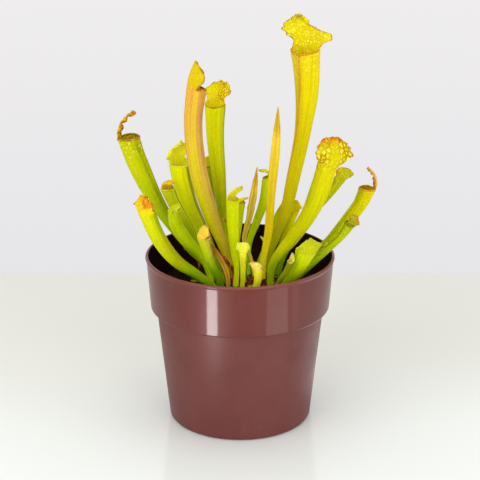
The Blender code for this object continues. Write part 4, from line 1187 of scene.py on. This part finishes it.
# Dead leaves and a broken stalk: name, where the foot ends if not on the crown, and path
DEAD_LEAVES = (
    ("leaf_strip_brown", None,
     [(-4.5, -9.5, 2.4), (-5, -10, 111, 2.4), (-10.5, -10, 118.5, 2.4), (-16, -9, 124.5, 2.2),
      (-21.3, -8, 130.5, 0.6)]),
    ("dead_leaf_left", None,
     [(-22, -14, 2.4), (-24, -15, 101, 2.6), (-27, -16, 106, 2), (-31, -16, 108, 0.8)]),
    ("dead_leaf_centre", None,
     [(6, -12, 2.6), (7, -12, 102, 2.8), (9, -12, 106, 2.2), (12, -12, 108, 0.8)]),
    ("dry_stalk", SOIL_TOP + 2,
     [(-29, 38, 2.2), (-30, 39, 99, 2), (-33, 40, 104, 1.8), (-40, 41, 108, 1.2)]))

PITCHER_GROUPS = (({}, LARGE_PITCHERS), (MIDDLE_SIZES, MIDDLE_PITCHERS), (SMALL_SIZES, SMALL_PITCHERS))
FIRST_SLENDER_SEED = 31
NO_SHEATH = ("cut_stub_green", "dead_leaf_left", "dead_leaf_centre", "dry_stalk")
LEAF_PATHS = [(row[0], row[3]) for _, group in PITCHER_GROUPS for row in group]
LEAF_PATHS += [(row[0], row[2]) for row in SLENDER_LEAVES + DEAD_LEAVES]
SHEATHED_FEET = [path[0] for name, path in LEAF_PATHS if name not in NO_SHEATH]


def make_leaves():
    """Every leaf of the tables; seeds run on in their order."""
    seed = 0
    for shared, group in PITCHER_GROUPS:
        for name, slot, face, path, lid, look, sizes in group:
            seed += 1
            make_pitcher(name, slot, face, path, lid, look, seed, **{**shared, **sizes})
    for seed, (name, slot, path, look, sizes) in enumerate(SLENDER_LEAVES, FIRST_SLENDER_SEED):
        make_slender(name, slot, path, leaf_material(name, look), seed, **sizes)
    dead = dry_material("dead_leaf_skin", (84, 26, 14), (146, 62, 30), (206, 136, 76))
    for name, foot_top, path in DEAD_LEAVES:
        seed += 1
        make_slender(name, BROWN, path, dead, seed, face=15, fold=0.45, foot_top=foot_top, columns=20,
                     rows=44, wrinkle=0.35)


# Pot, peat and crown


def body_radius(z):
    """Outside radius of the pot's tapered lower body at a height."""
    share = (z - BASE_ROUND) / (BODY_TOP_Z - BASE_ROUND)
    return BASE_RADIUS + share * (BODY_TOP_RADIUS - BASE_RADIUS)


def inner_wall():
    """The pot's inner wall below its lip, top to bottom, as in the CAD."""
    return [
        (BAND_FOOT_RADIUS - POT_WALL, BAND_FOOT_Z + POT_WALL + 0.8),
        (BODY_TOP_RADIUS - POT_WALL, BAND_FOOT_Z + LEDGE_RISE),
        (body_radius(POT_FLOOR + 2.0) - POT_WALL, POT_FLOOR + 2.0),
        (body_radius(POT_FLOOR) - POT_WALL - 2.0, POT_FLOOR)]


def make_pot():
    """The pot as a fine turned shell: rounded foot, tapered body, abrupt step, band and flared lip."""
    lip = POT_WALL / 2
    lip_z = POT_HEIGHT - lip
    outer = [(0.0, 0.0), (20.0, 0.0), (40.0, 0.0), (45.5, 0.0)]
    outer += arc((BASE_RADIUS - BASE_ROUND, BASE_ROUND), BASE_ROUND, -90, 0, 12)
    outer += [(float(body_radius(z)), float(z)) for z in np.linspace(BASE_ROUND, BODY_TOP_Z - 0.5, 28)[1:]]
    outer += [(BODY_TOP_RADIUS, BODY_TOP_Z), (BODY_TOP_RADIUS + 0.12, BODY_TOP_Z + 0.45),
              (BODY_TOP_RADIUS + 0.35, BODY_TOP_Z + 0.75), (BODY_TOP_RADIUS + 0.8, BAND_FOOT_Z - 0.28),
              (BAND_FOOT_RADIUS - 2.2, BAND_FOOT_Z - 0.12)]
    outer += arc((BAND_FOOT_RADIUS - STEP_ROUND, BAND_FOOT_Z + STEP_ROUND), STEP_ROUND, -80, 0, 9)
    z = np.linspace(BAND_FOOT_Z + 3.5, lip_z, 60)[:-1]
    z = np.concatenate(([BAND_FOOT_Z + STEP_ROUND + 0.5], z))
    band_slope = (RIM_RADIUS - LIP_FLARE - BAND_FOOT_RADIUS) / (POT_HEIGHT - LIP_DEPTH - BAND_FOOT_Z)
    straight = BAND_FOOT_RADIUS + (z - BAND_FOOT_Z - STEP_ROUND) * band_slope
    top_straight = BAND_FOOT_RADIUS + (lip_z - BAND_FOOT_Z - STEP_ROUND) * band_slope
    band = straight + smoothstep(z, POT_HEIGHT - LIP_DEPTH / 2, lip_z) * (RIM_RADIUS - top_straight)
    outer += list(zip(band.tolist(), z.tolist()))
    top = arc((RIM_RADIUS - lip, lip_z), lip, 0, 180, 15)
    profile = outer + top + inner_wall() + [(0.0, POT_FLOOR)]
    steps = 224
    points, faces = revolve(profile, steps)
    pot = new_piece("cover_pot", points, faces, pot_material(), "pot_plastic", ("pot",))
    pot.data.materials.append(pot_inside_material())
    lip_inside = 6
    outside_rows = len(outer) + len(top) - 1 - lip_inside
    inside_faces = np.repeat(np.arange(len(profile) - 3) >= outside_rows, steps)
    side = np.concatenate((inside_faces, np.zeros(steps), np.ones(steps)))
    pot.data.polygons.foreach_set("material_index", side.astype(np.int32))


def soil_height(x, y):
    """Height of the peat's surface above points: the CAD's lumps with finer ones added."""
    lump = np.sin(0.21 * x + 1.0) * np.cos(0.17 * y) + 0.6 * np.sin(0.33 * y - 0.25 * x)
    flat = np.stack((x, y, 0 * x), -1)
    return SOIL_TOP + 0.6 * lump + 0.5 * ripples(flat, 6.0, 61) + 0.3 * ripples(flat, 2.2, 62)


def make_soil():
    """Peat that fills the pot, uneven on top."""
    wall = inner_wall()
    rim = (RIM_RADIUS - POT_WALL, POT_HEIGHT - POT_WALL / 2)
    share = (SOIL_TOP - wall[0][1]) / (rim[1] - wall[0][1])
    top_radius = wall[0][0] + share * (rim[0] - wall[0][0]) - GAP
    profile = [(0.0, POT_FLOOR + GAP), (wall[3][0] - GAP, POT_FLOOR + GAP)]
    profile += [(radius - GAP, z) for radius, z in reversed(wall[:3])]
    low = len(profile)
    profile += [(float(r), SOIL_TOP) for r in np.linspace(top_radius, 0.0, 90)]

    def uneven(points):
        points[low:, :, 2] = soil_height(points[low:, :, 0], points[low:, :, 1])
        return points

    new_piece("peat_fill", *revolve(profile, 180, uneven), peat_material(), "peat", ("soil",))


def surface_height(x, y):
    """Height of the peat or of the crown's surface, whichever is higher."""
    return np.maximum(soil_height(x, y), crown_top(x, y))


def scattered(base, faces, count, reach, lift, tilt, sizes, draw):
    """Copies of a small shape over a disc of the given radius, as one set of arrays.

    Each is sized, leans up to tilt radians about X, gets any turn about Z and stands lift above
    the surface.
    """
    radius, turn = reach * np.sqrt(draw.uniform(0, 1, count)), draw.uniform(0, TAU, count)
    x, y = radius * np.cos(turn), radius * np.sin(turn)
    places = np.stack((x, y, surface_height(x, y) + lift), 1)
    spin, lean = draw.uniform(0, TAU, count), draw.uniform(-tilt, tilt, count)
    zero, one = 0 * spin, 1 + 0 * spin
    lean_cos, lean_sin, cos, sin = np.cos(lean), np.sin(lean), np.cos(spin), np.sin(spin)
    tip = np.stack((one, zero, zero, zero, lean_cos, -lean_sin, zero, lean_sin, lean_cos), 1)
    about_z = np.stack((cos, -sin, zero, sin, cos, zero, zero, zero, one), 1)
    turns = about_z.reshape(-1, 3, 3) @ tip.reshape(-1, 3, 3)
    points = np.einsum("nij,nkj->nki", turns, base[None] * sizes[:, None]) + places[:, None]
    shift = np.arange(count)[:, None, None] * len(base)
    return points.reshape(-1, 3), [(block[None] + shift).reshape(-1, block.shape[1]) for block in faces]


def make_crumbs():
    """Crumbs of peat and bark on the surface: small faceted lumps of twenty faces."""
    draw = np.random.default_rng(71)
    golden = (1 + math.sqrt(5)) / 2
    signs = np.array([(a, b) for a in (-1, 1) for b in (-1, 1)], float)
    first = np.stack((np.zeros(4), signs[:, 0], signs[:, 1] * golden), 1)
    corners = np.concatenate((first, first[:, [1, 2, 0]], first[:, [2, 0, 1]])) / math.hypot(1, golden)
    near = np.linalg.norm(corners[:, None] - corners[None], axis=2) < 1.2
    a, b, c = (part.ravel() for part in np.meshgrid(*3 * [np.arange(12)], indexing="ij"))
    good = (a < b) & (b < c) & near[a, b] & near[b, c] & near[a, c]
    faces = np.stack((a[good], b[good], c[good]), 1)
    base, second, third = (corners[faces[:, k]] for k in range(3))
    turned_in = np.sum(np.cross(second - base, third - base) * base, axis=1) < 0
    faces[turned_in] = faces[turned_in][:, ::-1]
    count, reach, sunk, tilt = 620, 57.5, 0.2, 1.2
    sizes = draw.uniform(0.35, 1.3, (count, 1)) * draw.uniform(0.6, 1.5, (count, 3))
    points, blocks = scattered(corners, [faces], count, reach, -sunk, tilt, sizes, draw)
    new_piece("peat_crumbs", points + 0.22 * drift(points, 1.3, 72), blocks, peat_material(), "peat")


def make_flakes(name, count, reach, length, width, lift, seed, slot, material):
    """Curled scraps of leaf: a lens-shaped section of eight points carried along an arc."""
    draw = np.random.default_rng(seed)
    rows, ring = 9, 8
    t = np.linspace(0.0, 1.0, rows)[:, None]
    turn = np.arange(ring) * TAU / ring
    taper = 0.15 + 0.85 * np.sin(math.pi * np.clip(t * 0.9 + 0.05, 0, 1)) ** 0.6
    bend = 1.5 * (t - 0.5)
    rise = (1 - np.cos(bend)) * 0.5 + np.sin(turn) * 0.08 * taper
    rise = rise + 0.35 * (np.cos(turn) * taper) ** 2 * 0.5
    base = np.stack((np.sin(bend) / 1.5 + 0 * turn, np.cos(turn) * 0.5 * taper, rise), -1)
    flat = np.concatenate((base.reshape(-1, 3), base[:1].mean(1), base[-1:].mean(1)))
    sizes = np.stack((draw.uniform(0.6, 1.3, count) * length, draw.uniform(0.6, 1.4, count) * width,
                      draw.uniform(0.6, 1.4, count) * width), 1)
    points, blocks = scattered(flat, capped_tube(rows, ring)[0], count, reach, lift, 0.7, sizes, draw)
    new_piece(name, points + 0.25 * drift(points, 2.5, seed + 3), blocks, material, slot)


def make_crown():
    """The knobbly rootstock."""
    rings, steps = 44, 120
    tilt = np.linspace(-math.pi / 2, math.pi / 2, rings)
    profile = np.stack((np.cos(tilt), np.sin(tilt)), 1)
    profile[[0, -1], 0] = 0.0

    def knobbly(points):
        points = points * np.array(CROWN_AXES) + np.array(CROWN_CENTRE)
        away = unit(points - np.array(CROWN_CENTRE))
        rough = 0.5 * ripples(points, 9.0, 81) + 0.45 * ripples(points, 3.2, 82) - 0.3
        return points + away * rough[..., None]

    material = dry_material("rootstock_bark", (70, 26, 12), (142, 68, 30), (210, 146, 84), 700.0)
    new_piece("knobbly_crown", *revolve(profile, steps, knobbly), material, "rootstock", ("crown",))


def make_sheaths(feet):
    """Torn brown sheaths round the feet of the leaves and the stubs of dead leaves between them.

    A sheath is a closed shell, rows up its outer side and down its inner side. Its radius
    widens upwards and its top is ragged: its height less up to 0.42 of it by three sines round it.
    """
    draw = np.random.default_rng(91)
    dead = [(x, y, 3.4) for x, y in CROWN_STUBS]
    strays = 34
    stray_turn, stray_reach = draw.uniform(0, TAU, strays), np.sqrt(draw.uniform(0.05, 0.9, strays))
    stray = np.stack((
        CROWN_CENTRE[0] + CROWN_AXES[0] * stray_reach * np.cos(stray_turn),
        CROWN_CENTRE[1] + CROWN_AXES[1] * stray_reach * np.sin(stray_turn),
        draw.uniform(2.2, 4.2, strays)), 1)
    places = np.concatenate((feet, dead, stray))
    x, y, width = places.T[:, :, None, None]
    count, rows, columns, sunk, thick, widening = len(places), 9, 22, 1.6, 0.35, 0.9
    height = np.repeat((5.5, 4.2, 3.6), (len(feet), len(dead), strays)) * draw.uniform(0.7, 1.35, count)
    angle = np.arange(columns) * TAU / columns
    t = np.concatenate((np.linspace(0, 1, rows), np.linspace(1, 0.15, rows)))[None, :, None]
    wall = np.repeat((0.0, thick), rows)[None, :, None]
    phase = draw.uniform(0, TAU, (count, 3, 1))
    ragged = sum(np.sin(times * angle + phase[:, k]) for k, times in enumerate((2, 5, 9))) / 3
    top = height[:, None] * (1 - 0.42 * (ragged + 1) / 1.2)
    uneven = (1 + 0.8 * np.sin(angle * 2 + phase[:, 1]))[:, None]
    radius = width / 2 + 0.25 + (widening * t ** 2) * uneven - wall
    squash = draw.uniform(0.75, 1.0, count)
    squash[:len(feet)] = 1.0
    lean = draw.uniform(-1.6, 1.6, (2, count))
    lean[:, :len(feet)] = 0.0
    lean_x, lean_y = lean[:, :, None, None]
    ground = surface_height(places[:, 0], places[:, 1]) - sunk
    points = np.stack((
        x + radius * np.cos(angle) + lean_x * t,
        y + radius * squash[:, None, None] * np.sin(angle) + lean_y * t,
        ground[:, None, None] + t * (top[:, None, :] + sunk)), -1).reshape(-1, 3)
    around = 2 * rows
    i, j = (part.ravel() for part in np.meshgrid(np.arange(around), np.arange(columns), indexing="ij"))
    up, right = (i + 1) % around, (j + 1) % columns
    quads = np.stack((i * columns + j, i * columns + right, up * columns + right, up * columns + j), 1)
    faces = (quads[None] + np.arange(count)[:, None, None] * around * columns).reshape(-1, 4)
    material = dry_material("torn_sheaths", (48, 16, 12), (104, 44, 26), (164, 104, 56), 1100.0)
    new_piece("torn_sheaths", points + 0.22 * drift(points, 2.6, 93), [faces], material, "rootstock")


# Table, light and camera


TABLE_SIZE = 558.0
TABLE_THICK = 22.0
TABLE_EDGE = 3.0
WHITE = (1.0, 1.0, 1.0)
# Name, place, what it points at, size, power in watts and colour
SOFTBOXES = (
    ("left_softbox", (-0.85, -0.65, 0.85), (0.0, 0.0, 0.13), (0.7, 0.7), 2.4, WHITE),
    ("right_softbox", (0.9, -0.5, 0.7), (0.0, 0.0, 0.13), (0.5, 0.7), 0.8, WHITE),
    ("top_softbox", (0.0, 0.1, 1.2), (0.0, 0.0, 0.1), (0.8, 0.8), 1.0, WHITE),
    ("front_left_softbox", (-0.55, -1.15, 0.42), (0.0, 0.0, 0.13), (0.6, 0.6), 3.6, WHITE),
    ("front_right_softbox", (0.55, -1.2, 0.36), (0.0, 0.0, 0.13), (0.6, 0.6), 3.2, WHITE),
    ("side_softbox", (1.0, -0.12, 0.28), (0.0, 0.0, 0.06), (0.5, 0.5), 1.2, (0.72, 0.84, 1.0)),
    ("front_narrow_softbox", (0.0, -0.95, 0.46), (0.010, -0.02, 0.110), (0.08, 0.04), 0.006, WHITE))
# Name, azimuth, nearest and farthest, widths there, radiance, colour and number of strips
CARDS = (
    ("narrow_card", -31.0, 0.155, 0.275, (0.034, 0.056), 21.5, WHITE, 5),
    ("wide_card", 42.5, 0.150, 0.270, (0.078, 0.116), 2.0, WHITE, 5),
    ("side_card", 66.0, 0.150, 0.270, (0.026, 0.044), 0.5, WHITE, 5),
    ("sheen_card", 112.0, 0.075, 0.175, (0.10, 0.14), 1.0, (0.8, 0.9, 1.0), 1))
NARROW_SPREAD = math.radians(6)
CAMERA_PLACE = (0.0, -1.1027, 0.5223)
CAMERA_TILT = 19.63
CAMERA_LENS = 127.5


def make_table():
    """A square table top with a rounded edge, its rear edge at the photo's horizon."""
    bpy.ops.mesh.primitive_cube_add(size=1.0)
    top = bpy.context.object
    top.name = "pale_table_top"
    top.data.transform(Matrix.Diagonal((TABLE_SIZE * MM, TABLE_SIZE * MM, TABLE_THICK * MM, 1.0)))
    top.location = (0.0, 0.0, -TABLE_THICK / 2 * MM)
    bevel = top.modifiers.new("Rounded edge", "BEVEL")
    bevel.width = TABLE_EDGE * MM
    bevel.segments = 5
    top.data.materials.append(table_material())


def area_light(name, place, target, size, power, colour):
    """A rectangular light that the camera doesn't see."""
    data = bpy.data.lights.new(name, "AREA")
    data.shape = "RECTANGLE"
    data.size, data.size_y = size
    data.energy = power
    data.color = colour
    light = bpy.data.objects.new(name, data)
    bpy.context.scene.collection.objects.link(light)
    light.location = place
    light.rotation_euler = (Vector(target) - light.location).to_track_quat("-Z", "Y").to_euler()
    light.visible_camera = False
    return light


def mirrored_card(name, azimuth, near, far, widths, radiance, colour, parts):
    """A bright card that lies face up on the table and shows only as a highlight in the pot.

    It points away from the pot at the azimuth, in degrees from -Y towards +X, and reaches from
    near to far metres from the pot's axis, widening from widths[0] to widths[1]. It is made of
    parts strips; one of area a and radiance r gives off pi * a * r watts.
    """
    angle = math.radians(azimuth)
    length = (far - near) / parts
    for k in range(parts):
        share = (k + 0.5) / parts
        reach = near + share * (far - near)
        width = widths[0] + share * (widths[1] - widths[0])
        place = (reach * math.sin(angle), -reach * math.cos(angle), 0.001)
        light = area_light(
            f"{name}_{k}", place, (place[0], place[1], 1.0), (width, length),
            math.pi * width * length * radiance, colour)
        light.rotation_euler = (math.pi, 0.0, angle)
        light.visible_diffuse = False


def make_lights():
    """An even pale surrounding, the softboxes, and the low cards that the pot's band mirrors."""
    world = bpy.data.worlds.new("pale_room")
    bpy.context.scene.world = world
    world.use_nodes = True
    n = Nodes(world.node_tree)
    z = n.part(n.add("TexCoord").outputs["Generated"], 2)
    tone = n.mix(n.step(z, -0.40, -0.16), (0.788, 0.778, 0.800, 1.0), (0.868, 0.853, 0.859, 1.0))
    n.fill(world.node_tree.nodes["Background"].inputs, {"Color": tone, "Strength": 1.0})
    for softbox in SOFTBOXES:
        light = area_light(*softbox)
    light.data.spread = NARROW_SPREAD
    for card in CARDS:
        mirrored_card(*card)


def make_camera():
    """The photo's camera, 1.1 m in front of the pot and tilted down."""
    data = bpy.data.cameras.new("photo_camera")
    data.lens = CAMERA_LENS
    data.sensor_width = 36.0
    camera = bpy.data.objects.new("photo_camera", data)
    bpy.context.scene.collection.objects.link(camera)
    camera.location = CAMERA_PLACE
    camera.rotation_euler = (math.radians(90 - CAMERA_TILT), 0.0, 0.0)
    bpy.context.scene.camera = camera


# Name, how many, reach, length, width, height above the surface, seed, slot, and the colours
LITTER = (
    ("dry_strips", 46, 34.0, 13.0, 1.5, 2.2, 131, "rootstock",
     ("dry_strip_skin", (92, 30, 18), (164, 84, 38), (214, 150, 84))),
    ("young_strips", 34, 32.0, 14.0, 1.8, 4.0, 151, "leaf_green",
     ("young_strip_skin", (88, 108, 4), (146, 168, 10), (206, 206, 60))),
    ("dry_flakes", 90, 50.0, 5.0, 2.0, 0.4, 101, "rootstock",
     ("dry_flake_skin", (70, 26, 18), (128, 66, 36), (190, 140, 84))))

make_pot()
make_soil()
make_crumbs()
make_crown()
make_sheaths(SHEATHED_FEET)
for *scrap, colours in LITTER:
    make_flakes(*scrap, dry_material(*colours))
make_leaves()
make_table()
make_lights()
make_camera()
bpy.context.scene.view_settings.view_transform = "Standard"
